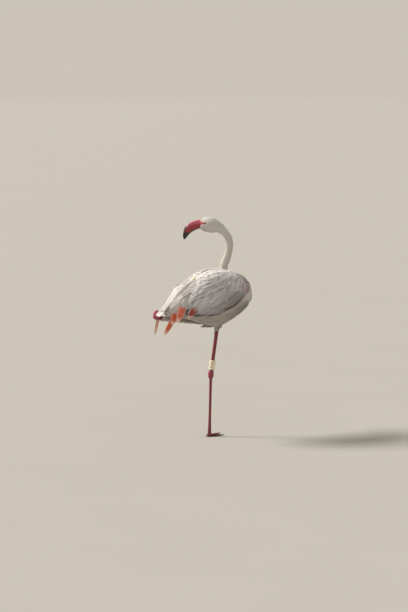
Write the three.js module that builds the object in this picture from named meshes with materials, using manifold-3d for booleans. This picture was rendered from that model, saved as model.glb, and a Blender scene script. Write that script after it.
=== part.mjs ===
// A greater flamingo, life size, at rest on its right leg.
//
// Millimetres, +Z up. The origin is the point on the floor under the pad of the standing foot.
// +X is the way the body faces, +Y is the bird's left. The left leg is folded under the belly with its
// hock out beside the tail, and the neck swings to the left, so that the head looks back over that side.
// Every solid has the outline of its plumage. Neighbours keep a thin gap, so that no two overlap.

import * as THREE from "three";
import { mergeVertices } from "three/addons/utils/BufferGeometryUtils.js";
import Module from "manifold-3d";

const wasm = await Module();
wasm.setup();

// ---------------------------------------------------------------- driving dimensions

const GAP = 0.4; // clearance left between neighbouring solids
const SHIFT_Y = -8; // the trunk's middle plane, set so that the bird balances over its foot

// Trunk: an egg along X. Knots are [x, back, belly, half width], before the ends are rounded off.
const TRUNK_REAR = -264;
const TRUNK_FRONT = 217;
const TRUNK_END_POWER = 3;
const TRUNK_SECTION_POWER = 2.2; // a little squarer than an ellipse
const TRUNK = [
  [-264, 668, 535, 62], [-200, 700, 549, 76], [-150, 728, 549, 86], [-100, 753, 541, 94], [-50, 769, 523, 98],
  [0, 773, 511, 100], [50, 770, 515, 100], [100, 769, 531, 99], [150, 768, 541, 98], [217, 785, 540, 95],
];

// Folded wing: seen from the side its outline runs from the wrist over the back to the rear and forward again.
const WING_OUTLINE = [
  [182, 702], [168, 744], [120, 792], [40, 808], [-44, 800], [-76, 772], [-104, 742],
  [-136, 708], [-160, 676], [-178, 632], [-160, 592], [-110, 579], [-30, 580], [28, 600], [97, 636], [150, 668],
];
const WING_INNER_Y = 6; // the two wings leave this much of the back between them and the middle plane
const WING_EDGE_THICK = 4;
const WING_MIDDLE_THICK = 12;
const WING_ROUND_OVER = 45; // how far in from its edge the wing reaches its full thickness
const WING_BLOCK_DEPTH = 200; // reaches well past the widest part of the bird

// Neck and head: one line from the chest, round to the left, up, and forward to the root of the bill.
const SPINE = [
  [140, 10, 640], [188, 24, 638], [222, 48, 642], [237, 82, 660], [228, 110, 690], [198, 121, 718],
  [162, 118, 743], [150, 110, 772], [164, 101, 818], [172, 92, 868], [166, 88, 904], [148, 92, 932],
  [124, 103, 953], [100, 116, 966], [72, 133, 974], [46, 151, 974],
];
// Half sizes along that line: [distance back from the root of the bill, crown side, throat side, sideways].
const HEAD_NECK_SIZES = [
  [0, 21, 22, 14.5], [15, 30, 32, 20], [34, 36, 37, 24.5], [50, 38.5, 36, 25], [66, 33, 34, 23.5],
  [86, 23, 25, 20.5], [112, 18.5, 19, 18], [150, 17.5, 17.5, 17.5], [205, 18.5, 18.5, 18.5], [260, 20, 20, 20],
  [330, 22, 22, 22], [400, 26, 26, 26], [450, 33, 33, 33], [495, 42, 42, 42], [545, 50, 50, 48],
];
const NECK_ROOT_BURIED = 20; // the neck starts this far along its line, inside the chest
const NECK_CUTS = [84, 215, 345]; // the head ends, and the neck is parted, at these distances

// Bill, in the plane of the head: [forward, up] from the root of the bill.
const BILL_ROOT = new THREE.Vector3(46, 151, 974);
const HEAD_YAW = THREE.MathUtils.degToRad(145); // from +X towards +Y
const CULMEN = [
  [0, 21], [20, 18], [44, 9], [60.5, -1], [70.5, -13], [76, -28], [80, -46], [79.5, -62], [74.5, -71.5],
];
const TOMIUM = [
  [0, 0], [18, -0.3], [34, -1.4], [49, -5.5], [61, -13.5], [69, -26], [73, -42], [75, -58], [74.2, -71],
];
const GONYS = [
  [0, -19], [12, -23], [24, -28], [36, -34.5], [47, -43], [56, -53], [63, -62], [69, -68.5], [73.4, -71.2],
];
const UPPER_HALF_WIDTH = [[0, 13], [0.3, 12], [0.55, 10], [0.8, 7.5], [1, 4]];
const LOWER_HALF_WIDTH = [[0, 12], [0.3, 13.5], [0.55, 12], [0.8, 8], [1, 3.5]];
const BILL_SQUARENESS = 0.85; // under 1 the bill's section is a little boxier than an ellipse
const BILL_THINNEST = 1.2; // height left at the very tip
const MOUTH_GAP = 0.25; // each mandible stands off the line of the mouth by this much
const FACE_GAP = 0.5; // and off the face by this much

const EYE_RADIUS = 7.2;
const EYE_BACK = 24; // behind the root of the bill
const EYE_UP = 6;
const EYE_SIDE = 15.6;

// Legs.
const HOCK_RIGHT = new THREE.Vector3(1, 0, 290);
const SHANK_TOP_RIGHT = new THREE.Vector3(34, -14, 548);
const SHANK_HALF = 8.4; // bare lower leg above the hock
const TARSUS_HALF = 6.3;
const BONE = { flare: 0.3, fore: 1.08, side: 0.92 }; // thicker at its ends, and deeper than it is wide
const HOCK_HALF = { fore: 15.5, side: 13, tall: 24 };
const THIGH_HALF = 32; // the feathered sleeve where the leg leaves the belly
const THIGH_TAPER = 75; // how much of that is lost over the whole shank
const FEATHERED_TO = 0.16; // share of the standing shank that the sleeve hides
const HOCK_LEFT = new THREE.Vector3(-270, 48, 580);
const HOCK_LEFT_ALONG = new THREE.Vector3(0.18, 0, 0.98);
const SHANK_TOP_LEFT = new THREE.Vector3(-60, 62, 612);
const TARSUS_END_LEFT = new THREE.Vector3(24, 30, 527);

// Feet. Spread toes are [heading in degrees, length, half thickness at the root].
const ANKLE_Z = 26;
const FOOT = new THREE.Vector3(-10, -5, 0); // the sole, from the point below the hock
const FOOT_YAW = 22; // degrees; the standing foot turns inwards, to come under the weight
const TOES = [[-35, 68, 5.2], [0, 84, 5.6], [35, 74, 5.3]];
// The middle line of a toe: [distance, share of its length added to that, height].
const TOE_PROFILE = [[-4, 0, 11], [0, 0.22, 6.4], [0, 0.6, 4.6], [0, 1, 2.7]];
const HIND_TOE = { length: 22, half: 3.4 }; // its tip just touches the floor
const PAD = { radius: 10.5, height: 6 }; // the ball of the foot, cut flat by the floor
const ANKLE_STUB = { from: 8, fore: 9, side: 8 };
const CLAW_LENGTH = 11;
const CLAW_BURIED = 4; // the claw starts this far back from the tip of its toe
const CLAW_SHARE = 0.55; // its thickness as a share of the toe's
const CURLED_TOES = [{ side: -7.5, reach: 44 }, { side: 0, reach: 54 }, { side: 7.5, reach: 46 }];
const CURLED_DROP = 15; // the curled toes hang this far below their joint
const CURLED_HALF = { root: 4.8, lost: 1.6 };
const CURLED_JOINT = 6; // the joint is this far past the end of the tarsus
const WEB_REACH = 0.8; // share of the toes' length that the web reaches at the toes
const WEB_NOTCH = 0.62; // and half-way between them
const WEB_THICK = 2.2;

// The hollow in the belly feathers round the tucked foot: its ends, from the end of the tarsus, and half sizes.
const FOOT_HOLLOW = { past: [-76, 27], below: -9, half: 14, side: 16 };

// Ring on the standing shank.
const BAND = { from: 313, to: 356, inner: 11, outer: 13.6 };

// Tail and flight feathers.
const TAIL_FEATHERS = 7;
const TAIL_ROOT = new THREE.Vector3(-207, 0, 664);
const TAIL_LENGTH = 124;
const TAIL_SLOPE = THREE.MathUtils.degToRad(-45);
const TAIL_SPREAD = THREE.MathUtils.degToRad(44);
const TAIL_ROOT_WIDTH = 46;
const TAIL_HALF_WIDTH = 11;
const TAIL_HALF_THICK = 1.7;
const TAIL_CAMBER = 10; // the outer tail feathers start this much lower, twice over

// Tertials: the long coral feathers that droop from the rear of each folded wing, outermost first. They are
// given for the right wing. The left wing's last one hangs more steeply.
const TERTIAL_HALF_THICK = 1.5;
const TERTIAL_ACROSS = new THREE.Vector3(-0.6, -0.1, 0.8); // the way their width runs
const TERTIALS = [
  { root: [-104, 93, 626], bend: [-142, 91, 594], tip: [-174, 84, 564], half: 13 },
  { root: [-118, 88, 652], bend: [-176, 79, 620], tip: [-222, 66, 576], half: 15 },
  { root: [-128, 84, 642], bend: [-200, 70, 592], tip: [-256, 55, 542], half: 15 },
  {
    root: [-138, 79, 632], bend: [-220, 61, 572], tip: [-291, 41, 503], half: 14,
    left: { bend: [-222, 84, 580], tip: [-257, 78, 487] },
  },
];

// Colour and roughness of each kind of surface.
const COLOURS = {
  plumage: [0xe6e0df, 0.85], wing: [0xdcd6da, 0.8], coral: [0xd9694a, 0.75],
  leg: [0xb0566a, 0.5], claw: [0x2a2224, 0.45], ring: [0xe9e7dc, 0.4],
  billPink: [0xd0697c, 0.35], billRed: [0xa83a3c, 0.4], iris: [0xe9d68a, 0.15],
};

// ---------------------------------------------------------------- small tools

/** A smooth function through [x, value, ...] knots, giving the column asked for. */
function through(knots, column = 1) {
  const x = knots.map((k) => k[0]);
  const y = knots.map((k) => k[column]);
  const last = x.length - 1;
  const slope = x.map((_, i) => {
    const a = Math.max(0, i - 1);
    const b = Math.min(last, i + 1);
    return (y[b] - y[a]) / (x[b] - x[a]);
  });
  return (at) => {
    const v = Math.min(x[last], Math.max(x[0], at));
    let i = 0;
    while (i < last - 1 && v > x[i + 1]) i += 1;
    const h = x[i + 1] - x[i];
    const t = (v - x[i]) / h;
    const t2 = t * t;
    const t3 = t2 * t;
    return y[i] * (2 * t3 - 3 * t2 + 1) + slope[i] * h * (t3 - 2 * t2 + t)
      + y[i + 1] * (3 * t2 - 2 * t3) + slope[i + 1] * h * (t3 - t2);
  };
}

/** A closed skin over rings: at(t, angle) gives a point, t runs 0 to 1. Its ends are points, or flat caps. */
function loft(rows, sides, at, flatStart = false, flatEnd = false) {
  const points = [];
  const faces = [];
  const ring = (t) => {
    const first = points.length;
    for (let i = 0; i < sides; i += 1) points.push(at(t, (2 * Math.PI * i) / sides));
    return first;
  };
  const middle = (t) => {
    const sum = new THREE.Vector3();
    for (let i = 0; i < sides; i += 1) sum.add(at(t, (2 * Math.PI * i) / sides));
    points.push(sum.divideScalar(sides));
    return points.length - 1;
  };
  const startMiddle = middle(0);
  const rings = [];
  for (let r = 0; r <= rows; r += 1) {
    const isPoint = (r === 0 && !flatStart) || (r === rows && !flatEnd);
    if (!isPoint) rings.push(ring(r / rows));
  }
  const endMiddle = middle(1);
  for (let i = 0; i < sides; i += 1) {
    const j = (i + 1) % sides;
    faces.push(startMiddle, rings[0] + j, rings[0] + i);
    for (let r = 0; r + 1 < rings.length; r += 1) {
      const [a, b] = [rings[r], rings[r + 1]];
      faces.push(a + i, a + j, b + j, a + i, b + j, b + i);
    }
    const z = rings[rings.length - 1];
    faces.push(endMiddle, z + i, z + j);
  }
  const geometry = new THREE.BufferGeometry().setFromPoints(points);
  geometry.setIndex(faces);
  return facingOut(geometry);
}

/** Turns every face round if the closed geometry encloses a negative volume. */
function facingOut(geometry) {
  const p = geometry.getAttribute("position");
  const index = geometry.getIndex().array;
  const [a, b, c] = [new THREE.Vector3(), new THREE.Vector3(), new THREE.Vector3()];
  let volume = 0;
  for (let i = 0; i < index.length; i += 3) {
    a.fromBufferAttribute(p, index[i]);
    b.fromBufferAttribute(p, index[i + 1]);
    c.fromBufferAttribute(p, index[i + 2]);
    volume += a.dot(b.cross(c));
  }
  if (volume > 0) return geometry;
  for (let i = 0; i < index.length; i += 3) {
    [index[i + 1], index[i + 2]] = [index[i + 2], index[i + 1]];
  }
  return geometry;
}

/** A closed geometry as a solid that can be joined and cut. */
function solid(geometry) {
  const bare = geometry.clone();
  bare.deleteAttribute("normal");
  bare.deleteAttribute("uv");
  const merged = mergeVertices(bare, 1e-3);
  return new wasm.Manifold(new wasm.Mesh({
    numProp: 3,
    vertProperties: merged.getAttribute("position").array,
    triVerts: new Uint32Array(merged.getIndex().array),
  }));
}

/** The largest body of a solid, as geometry again. Crumbs that a cut leaves are dropped. */
function geometryOf(shape) {
  const largest = shape.decompose().reduce((a, b) => (b.volume() > a.volume() ? b : a));
  const mesh = largest.getMesh();
  const geometry = new THREE.BufferGeometry();
  geometry.setAttribute("position", new THREE.BufferAttribute(new Float32Array(mesh.vertProperties), 3));
  geometry.setIndex(new THREE.BufferAttribute(new Uint32Array(mesh.triVerts), 1));
  return geometry;
}

const UP = new THREE.Vector3(0, 0, 1);
const signedPower = (v, power) => Math.sign(v) * Math.abs(v) ** power;

/** Points, with an up and a sideways vector, along a curve, carried down from its far end without twisting. */
function framesAlong(curve, upAtEnd, count = 160) {
  const frames = [];
  let up = upAtEnd.clone();
  for (let i = count; i >= 0; i -= 1) {
    const u = i / count;
    const tangent = curve.getTangentAt(u);
    up = up.clone().addScaledVector(tangent, -up.dot(tangent)).normalize();
    const side = new THREE.Vector3().crossVectors(tangent, up);
    frames[i] = { point: curve.getPointAt(u), up, side };
  }
  return (u) => frames[Math.round(Math.min(1, Math.max(0, u)) * count)];
}

/** A round limb along points. sizes(t) gives [up, down, side] half sizes. */
function limb(points, sizes, { rows = 10, sides = 10, up = UP, from = 0, to = 1, flat = true } = {}) {
  const isCurve = points instanceof THREE.Curve;
  const curve = isCurve ? points : new THREE.CatmullRomCurve3(points, false, "centripetal");
  const frame = framesAlong(curve, up);
  return loft(rows, sides, (t, angle) => {
    const u = from + (to - from) * t;
    const { point, up: crown, side } = frame(u);
    const [above, below, across] = sizes(u);
    const s = Math.sin(angle);
    return point.clone()
      .addScaledVector(crown, s * (s > 0 ? above : below))
      .addScaledVector(side, Math.cos(angle) * across);
  }, flat, flat);
}

/** A limb whose ends come to a point, by a round-off on both ends. */
function pod(points, sizes, options = {}) {
  const rounded = (u) => sizes(u).map((v) => v * Math.sqrt(Math.max(0, 1 - (2 * u - 1) ** 6)));
  return limb(points, rounded, { ...options, flat: false });
}

/** A thin feather along points: a lens section, widest near its middle, rounded at its tip. */
function vane(points, halfWidth, halfThick, across) {
  const broadening = (u) => Math.min(1, 0.45 + u * 2.2);
  const rounding = (u) => Math.sqrt(Math.max(0, 1 - u ** 7));
  const width = (u) => Math.max(1, halfWidth * broadening(u) * rounding(u));
  const thick = (u) => halfThick * (1 - 0.5 * u);
  return limb(points, (u) => [width(u), width(u), thick(u)], { rows: 6, sides: 4, up: across });
}

const joined = (geometries) => geometries.map(solid).reduce((a, b) => a.add(b));

// ---------------------------------------------------------------- trunk and wings

const [trunkBack, trunkBelly, trunkHalfWidth] = [1, 2, 3].map((column) => through(TRUNK, column));
const trunkCentreZ = (x) => (trunkBack(x) + trunkBelly(x)) / 2;
const trunkHalfHeight = (x) => (trunkBack(x) - trunkBelly(x)) / 2;

/** The trunk's surface, grown outwards by a number or by a function of [x, z]. */
function trunkGeometry(grow, rows = 20, sides = 22) {
  const middle = (TRUNK_REAR + TRUNK_FRONT) / 2;
  const reach = (TRUNK_FRONT - TRUNK_REAR) / 2;
  const power = 2 / TRUNK_SECTION_POWER;
  return loft(rows, sides, (t, angle) => {
    const along = -Math.cos(Math.PI * t);
    const x = middle + reach * along;
    const end = Math.sqrt(Math.max(0, 1 - Math.abs(along) ** TRUNK_END_POWER));
    const [c, s] = [signedPower(Math.cos(angle), power), signedPower(Math.sin(angle), power)];
    const [halfWidth, halfHeight] = [trunkHalfWidth(x) * end, trunkHalfHeight(x) * end];
    const more = typeof grow === "number" ? grow : grow(x, trunkCentreZ(x) + s * halfHeight);
    return new THREE.Vector3(
      x + more * along * (1 - end),
      c * (halfWidth + more),
      trunkCentreZ(x) + s * (halfHeight + more),
    );
  });
}

const wingKnots = WING_OUTLINE.map(([x, z]) => new THREE.Vector3(x, z, 0));
const wingCurve = new THREE.CatmullRomCurve3(wingKnots, true, "centripetal");
const wingOutline = wingCurve.getPoints(30).slice(0, -1).map((p) => new THREE.Vector2(p.x, p.y));

/** How thick the wing is over a point of the side view: thin at its outline, full further in. */
function wingThickness(x, z) {
  const here = new THREE.Vector2(x, z);
  const distance = Math.min(...wingOutline.map((p) => p.distanceTo(here)));
  const ease = THREE.MathUtils.smoothstep(distance, 0, WING_ROUND_OVER);
  return WING_EDGE_THICK + (WING_MIDDLE_THICK - WING_EDGE_THICK) * ease;
}

/** The block of space that holds the right wing, from the middle plane outwards. */
function wingBlock() {
  const shape = new THREE.Shape(wingOutline);
  const geometry = new THREE.ExtrudeGeometry(shape, { depth: WING_BLOCK_DEPTH, steps: 1, bevelEnabled: false });
  geometry.rotateX(Math.PI / 2); // the outline's second coordinate becomes Z, its depth runs to -Y
  return solid(geometry.translate(0, -WING_INNER_Y, 0));
}

// ---------------------------------------------------------------- neck and head

const spine = new THREE.CatmullRomCurve3(SPINE.map((p) => new THREE.Vector3(...p)), false, "centripetal");
spine.arcLengthDivisions = 800;
const spineLength = spine.getLength();
const [crownSize, throatSize, sideSize] = [1, 2, 3].map((column) => through(HEAD_NECK_SIZES, column));

/** A stretch of head or neck between two distances from the root of the bill. */
function neckStretch(near, far, rows, sides) {
  const sizes = (u) => {
    const back = (1 - u) * spineLength;
    return [crownSize(back), throatSize(back), sideSize(back)];
  };
  return solid(limb(spine, sizes, { rows, sides, from: 1 - far / spineLength, to: 1 - near / spineLength }));
}

const forward = new THREE.Vector3(Math.cos(HEAD_YAW), Math.sin(HEAD_YAW), 0);
const headLeft = new THREE.Vector3().crossVectors(UP, forward);

/** A point given in the head's own plane, and sideways from it. */
const headPoint = (f, u, side = 0) => BILL_ROOT.clone()
  .addScaledVector(forward, f).addScaledVector(UP, u).addScaledVector(headLeft, side);

/** One half of the bill, between a top line and a bottom line. */
function mandible(topLine, bottomLine, halfWidth, topInset, bottomInset) {
  const curve = (line) => new THREE.SplineCurve(line.map(([f, u]) => new THREE.Vector2(f, u)));
  const top = curve(topLine);
  const bottom = curve(bottomLine);
  const width = through(halfWidth);
  return loft(13, 10, (t, angle) => {
    const a = top.getPoint(t);
    const b = bottom.getPoint(t);
    const across = a.clone().sub(b);
    const tall = Math.max(BILL_THINNEST, across.length());
    across.normalize();
    a.addScaledVector(across, -topInset);
    b.copy(a).addScaledVector(across, -(tall - topInset - bottomInset));
    const centre = a.clone().add(b).multiplyScalar(0.5);
    const half = a.distanceTo(b) / 2;
    const s = Math.sin(angle);
    const c = signedPower(Math.cos(angle), BILL_SQUARENESS);
    return headPoint(centre.x + FACE_GAP + across.x * half * s, centre.y + across.y * half * s, c * width(t));
  }, true, true);
}

function eyeball(side, grow = 0) {
  const ball = new THREE.SphereGeometry(EYE_RADIUS + grow, 12, 8);
  const centre = headPoint(-EYE_BACK, EYE_UP, side * EYE_SIDE);
  return solid(ball.translate(centre.x, centre.y, centre.z));
}

// ---------------------------------------------------------------- legs and feet

/** The knobbly ankle, long axis along the leg. */
function hock(centre, along, fore, grow = 0) {
  const tall = HOCK_HALF.tall + grow;
  const ends = [-1, -0.4, 0.4, 1].map((k) => centre.clone().addScaledVector(along, k * tall));
  const sizes = [HOCK_HALF.fore + grow, HOCK_HALF.fore + grow, HOCK_HALF.side + grow];
  return solid(pod(ends, () => sizes, { rows: 6, sides: 10, up: fore }));
}

/** A bare leg bone between two points, thicker at both ends. */
function shaft(from, to, half, fore, grow = 0) {
  const waist = (u) => half * (1 + BONE.flare * (2 * u - 1) ** 4);
  const deep = (u) => waist(u) * BONE.fore + grow;
  const sizes = (u) => [deep(u), deep(u), waist(u) * BONE.side + grow];
  return solid(limb(new THREE.LineCurve3(from, to), sizes, { rows: 6, sides: 10, up: fore }));
}

/** The standing foot, flat on the floor: three webbed toes, a small hind toe, and a stub for the ankle. */
function spreadFoot() {
  const pieces = [];
  const tips = [];
  for (const [heading, length, half] of TOES) {
    const h = THREE.MathUtils.degToRad(heading + FOOT_YAW);
    const along = new THREE.Vector3(Math.cos(h), Math.sin(h), 0);
    const line = TOE_PROFILE.map(([d, share, z]) => along.clone().multiplyScalar(d + length * share).setZ(z));
    const tall = (u) => half * (1.15 - 0.5 * u);
    const sizes = (u) => [tall(u), tall(u), half * (1.25 - 0.4 * u)];
    pieces.push(pod(line, sizes, { rows: 7, sides: 6 }));
    tips.push(along.multiplyScalar(length * WEB_REACH));
  }
  const web = new THREE.Shape().moveTo(0, 0);
  web.lineTo(tips[0].x, tips[0].y);
  for (let i = 0; i + 1 < tips.length; i += 1) {
    const notch = tips[i].length() * (WEB_NOTCH / WEB_REACH);
    const between = tips[i].clone().add(tips[i + 1]).normalize().multiplyScalar(notch);
    web.quadraticCurveTo(between.x, between.y, tips[i + 1].x, tips[i + 1].y);
  }
  pieces.push(new THREE.ExtrudeGeometry(web, { depth: WEB_THICK, bevelEnabled: false, curveSegments: 5 }));
  pieces.push(new THREE.SphereGeometry(PAD.radius, 10, 8).translate(0, 0, PAD.height));
  const [stubFrom, stubTo] = [ANKLE_STUB.from, ANKLE_Z - GAP].map((z) => new THREE.Vector3(0, 0, z));
  const stub = new THREE.LineCurve3(stubFrom, stubTo);
  const stubSizes = [ANKLE_STUB.fore, ANKLE_STUB.fore, ANKLE_STUB.side];
  pieces.push(limb(stub, () => stubSizes, { rows: 1, sides: 10, up: new THREE.Vector3(1, 0, 0) }));
  const hind = [[-3, 0, 16], [-13, -2, 10], [-HIND_TOE.length, -3, 0.5]].map((p) => new THREE.Vector3(...p));
  pieces.push(pod(hind, () => Array(3).fill(HIND_TOE.half), { rows: 5, sides: 6 }));
  const aboveFloor = new THREE.BoxGeometry(400, 400, 400).translate(0, 0, 200);
  return joined(pieces).intersect(solid(aboveFloor)).translate(FOOT.toArray());
}

/** The tucked foot: three toes that hang from the end of the shank and curl back under the belly. */
function curledFoot(grow = 0) {
  const pieces = CURLED_TOES.map(({ side, reach }) => {
    const joint = TARSUS_END_LEFT.clone().add(new THREE.Vector3(CURLED_JOINT, 0, 0));
    const offsets = [[0, 0, 0], [10, side * 0.6, -6], [-6, side, -CURLED_DROP], [-reach, side, -CURLED_DROP]];
    const line = offsets.map((offset) => joint.clone().add(new THREE.Vector3(...offset)));
    const half = (u) => CURLED_HALF.root - CURLED_HALF.lost * u + grow;
    return pod(line, (u) => Array(3).fill(half(u)), { rows: 8, sides: 6 });
  });
  return joined(pieces);
}

/** The hollow in the belly feathers that the tucked foot lies in. */
function footHollow() {
  const { past, below, half, side } = FOOT_HOLLOW;
  const [from, to] = past.map((x) => TARSUS_END_LEFT.clone().add(new THREE.Vector3(x, 0, below)));
  return solid(pod(new THREE.LineCurve3(from, to), () => [half, half, side], { rows: 8, sides: 12 }));
}

/** A short blunt nail on the end of a toe. */
function claw({ root, along, half }, grow = 0) {
  const at = (d, rise) => root.clone().addScaledVector(along, d).add(new THREE.Vector3(0, 0, rise * half));
  const taper = (u) => (half + grow) * (1.05 - 0.75 * u);
  const line = [at(-grow, 0), at(CLAW_LENGTH / 2, 0.25), at(CLAW_LENGTH + grow, -0.45)];
  return solid(pod(line, (u) => [taper(u) * 0.8, taper(u) * 0.8, taper(u)], { rows: 5, sides: 6 }));
}

/** Where the claws sit: root, heading and half thickness. */
const rightClaws = TOES.map(([heading, length, half]) => {
  const h = THREE.MathUtils.degToRad(heading + FOOT_YAW);
  const along = new THREE.Vector3(Math.cos(h), Math.sin(h), 0);
  const root = along.clone().multiplyScalar(length - CLAW_BURIED).setZ(half * CLAW_SHARE + 0.6).add(FOOT);
  return { root, along, half: half * CLAW_SHARE };
});
const leftClaws = CURLED_TOES.map(({ side, reach }) => {
  const back = CURLED_JOINT + CLAW_BURIED - 1 - reach;
  const root = TARSUS_END_LEFT.clone().add(new THREE.Vector3(back, side, -CURLED_DROP));
  return { root, along: new THREE.Vector3(-1, 0, -0.12), half: 2.8 };
});

// ---------------------------------------------------------------- feathers that stand clear of the body

/** One long feather of the right wing, as a thin blade. */
function tertial({ root, bend, tip, half }, grow = 0) {
  const points = [root, bend, tip].map(([x, y, z]) => new THREE.Vector3(x, -y, z));
  return solid(vane(points, half + grow, TERTIAL_HALF_THICK + grow, TERTIAL_ACROSS));
}

/** A short fan that slopes down from the rump. */
function tailFan() {
  const feathers = [];
  for (let i = 0; i < TAIL_FEATHERS; i += 1) {
    const share = i / (TAIL_FEATHERS - 1) - 0.5;
    const yaw = share * TAIL_SPREAD;
    const along = new THREE.Vector3(-Math.cos(TAIL_SLOPE) * Math.cos(yaw), Math.sin(yaw), Math.sin(TAIL_SLOPE));
    const offset = new THREE.Vector3(0, share * TAIL_ROOT_WIDTH, -Math.abs(share) * TAIL_CAMBER);
    const root = TAIL_ROOT.clone().add(offset);
    const tip = root.clone().addScaledVector(along, TAIL_LENGTH * (1 - 0.35 * share * share));
    const bow = root.clone().lerp(tip, 0.55).add(new THREE.Vector3(-2, 0, 4));
    const across = new THREE.Vector3(Math.sin(yaw), Math.cos(yaw), 0);
    feathers.push(vane([root, bow, tip], TAIL_HALF_WIDTH, TAIL_HALF_THICK, across));
  }
  return joined(feathers);
}

// ---------------------------------------------------------------- the group

const flamingo = new THREE.Group();
const materials = Object.fromEntries(Object.entries(COLOURS).map(([name, [color, roughness]]) => [
  name, new THREE.MeshStandardMaterial({ color, roughness, metalness: 0 }),
]));

function add(name, shape, material) {
  const mesh = new THREE.Mesh(geometryOf(shape), materials[material]);
  mesh.name = name;
  flamingo.add(mesh);
}

const centred = (shape) => shape.translate([0, SHIFT_Y, 0]);
const otherSide = (shape) => shape.translate([0, -SHIFT_Y, 0]).mirror([0, 1, 0]).translate([0, SHIFT_Y, 0]);
const without = (shape, ...others) => others.reduce((rest, other) => rest.subtract(other), shape);

// Head and neck, parted across their line.
const headPart = neckStretch(0, NECK_CUTS[0], 12, 14);
add("head", without(headPart, eyeball(1, GAP), eyeball(-1, GAP)), "plumage");
add("eye_left", eyeball(1), "iris");
add("eye_right", eyeball(-1), "iris");
add("bill_upper", solid(mandible(CULMEN, TOMIUM, UPPER_HALF_WIDTH, 0, MOUTH_GAP)), "billPink");
add("bill_lower", solid(mandible(TOMIUM, GONYS, LOWER_HALF_WIDTH, MOUTH_GAP, 0)), "billRed");
add("neck_upper", neckStretch(NECK_CUTS[0] + GAP, NECK_CUTS[1], 11, 12), "plumage");
add("neck_middle", neckStretch(NECK_CUTS[1] + GAP, NECK_CUTS[2], 10, 12), "plumage");
const neckRoot = neckStretch(NECK_CUTS[2] + GAP, spineLength - NECK_ROOT_BURIED, 14, 14);
const neckRoom = neckStretch(NECK_CUTS[2], spineLength, 14, 14);

// Folded left leg, laid along the underside of the body.
const leftTarsusFrom = HOCK_LEFT.clone().add(new THREE.Vector3(4, 0, -13));
const leftShankFrom = HOCK_LEFT.clone().add(new THREE.Vector3(4, 0, 11));
const leftTarsus = (grow) => shaft(leftTarsusFrom, TARSUS_END_LEFT, TARSUS_HALF, UP, grow);
const leftShank = (grow) => shaft(leftShankFrom, SHANK_TOP_LEFT, SHANK_HALF * 0.9, UP, grow);
const leftHock = (grow) => hock(HOCK_LEFT, HOCK_LEFT_ALONG, new THREE.Vector3(1, 0, 0), grow);
const leftLegRoom = leftTarsus(GAP).add(leftShank(GAP)).add(leftHock(GAP)).add(footHollow());

// Trunk, wings and tail.
const trunkRoom = centred(solid(trunkGeometry(GAP)));
const wingCore = solid(trunkGeometry(wingThickness)).intersect(wingBlock());
const wingRoomRight = centred(solid(trunkGeometry((x, z) => wingThickness(x, z) + GAP)).intersect(wingBlock()));
const wingRoomLeft = otherSide(wingRoomRight);
const trunk = without(centred(solid(trunkGeometry(0))), leftLegRoom);
add("trunk", trunk, "plumage");
add("wing_right", without(centred(wingCore), trunkRoom, leftLegRoom, neckRoom), "wing");
add("wing_left", without(otherSide(centred(wingCore)), trunkRoom, leftLegRoom, neckRoom), "wing");
const tailRoom = [trunkRoom, leftLegRoom, wingRoomRight, wingRoomLeft];
const tail = without(centred(tailFan()), ...tailRoom);
add("tail", tail, "plumage");

// Each tertial makes room for those outside it.
function addTertials(side, feathers, place, wingRoom) {
  feathers.forEach((feather, i) => {
    const outer = feathers.slice(0, i).map((other) => place(tertial(other, GAP)));
    const rooms = [trunkRoom, wingRoom, leftLegRoom, centred(tailFan()), ...outer];
    const blade = without(place(tertial(feather)), ...rooms);
    add(`tertial_${side}_${i + 1}`, blade, "coral");
  });
}
const leftTertials = TERTIALS.map((feather) => ({ ...feather, ...feather.left }));
addTertials("right", TERTIALS, centred, wingRoomRight);
addTertials("left", leftTertials, (shape) => otherSide(centred(shape)), wingRoomLeft);
add("neck_lower", without(neckRoot, trunkRoom), "plumage");

add("hock_left", leftHock(0), "leg");
add("shank_left", without(leftShank(0), leftHock(GAP), trunkRoom), "leg");
add("tarsus_left", without(leftTarsus(0), leftHock(GAP), curledFoot(2 * GAP)), "leg");
add("foot_left", without(curledFoot(), ...leftClaws.map((c) => claw(c, GAP))), "leg");
leftClaws.forEach((c, i) => add(`claw_left_${i + 1}`, claw(c), "claw"));

// Standing right leg.
const foreRight = new THREE.Vector3(1, 0, 0);
const rightHock = (grow) => hock(HOCK_RIGHT, new THREE.Vector3(0.04, 0, 1).normalize(), foreRight, grow);
const rightShank = (grow) => shaft(HOCK_RIGHT, SHANK_TOP_RIGHT, SHANK_HALF, foreRight, grow);
const thighSizes = (u) => Array(3).fill(THIGH_HALF - THIGH_TAPER * u);
const thighLine = new THREE.LineCurve3(SHANK_TOP_RIGHT, HOCK_RIGHT);
const thigh = solid(limb(thighLine, thighSizes, { rows: 3, sides: 12, up: foreRight, to: FEATHERED_TO }));
const tarsusFoot = FOOT.clone().setZ(ANKLE_Z);
add("thigh_right", without(thigh, trunkRoom, rightShank(GAP), leftLegRoom), "plumage");
add("shank_right", without(rightShank(0), rightHock(GAP), trunkRoom), "leg");
add("hock_right", rightHock(0), "leg");
add("tarsus_right", without(shaft(tarsusFoot, HOCK_RIGHT, TARSUS_HALF, foreRight), rightHock(GAP)), "leg");
add("foot_right", without(spreadFoot(), ...rightClaws.map((c) => claw(c, GAP))), "leg");
rightClaws.forEach((c, i) => add(`claw_right_${i + 1}`, claw(c), "claw"));

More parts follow.
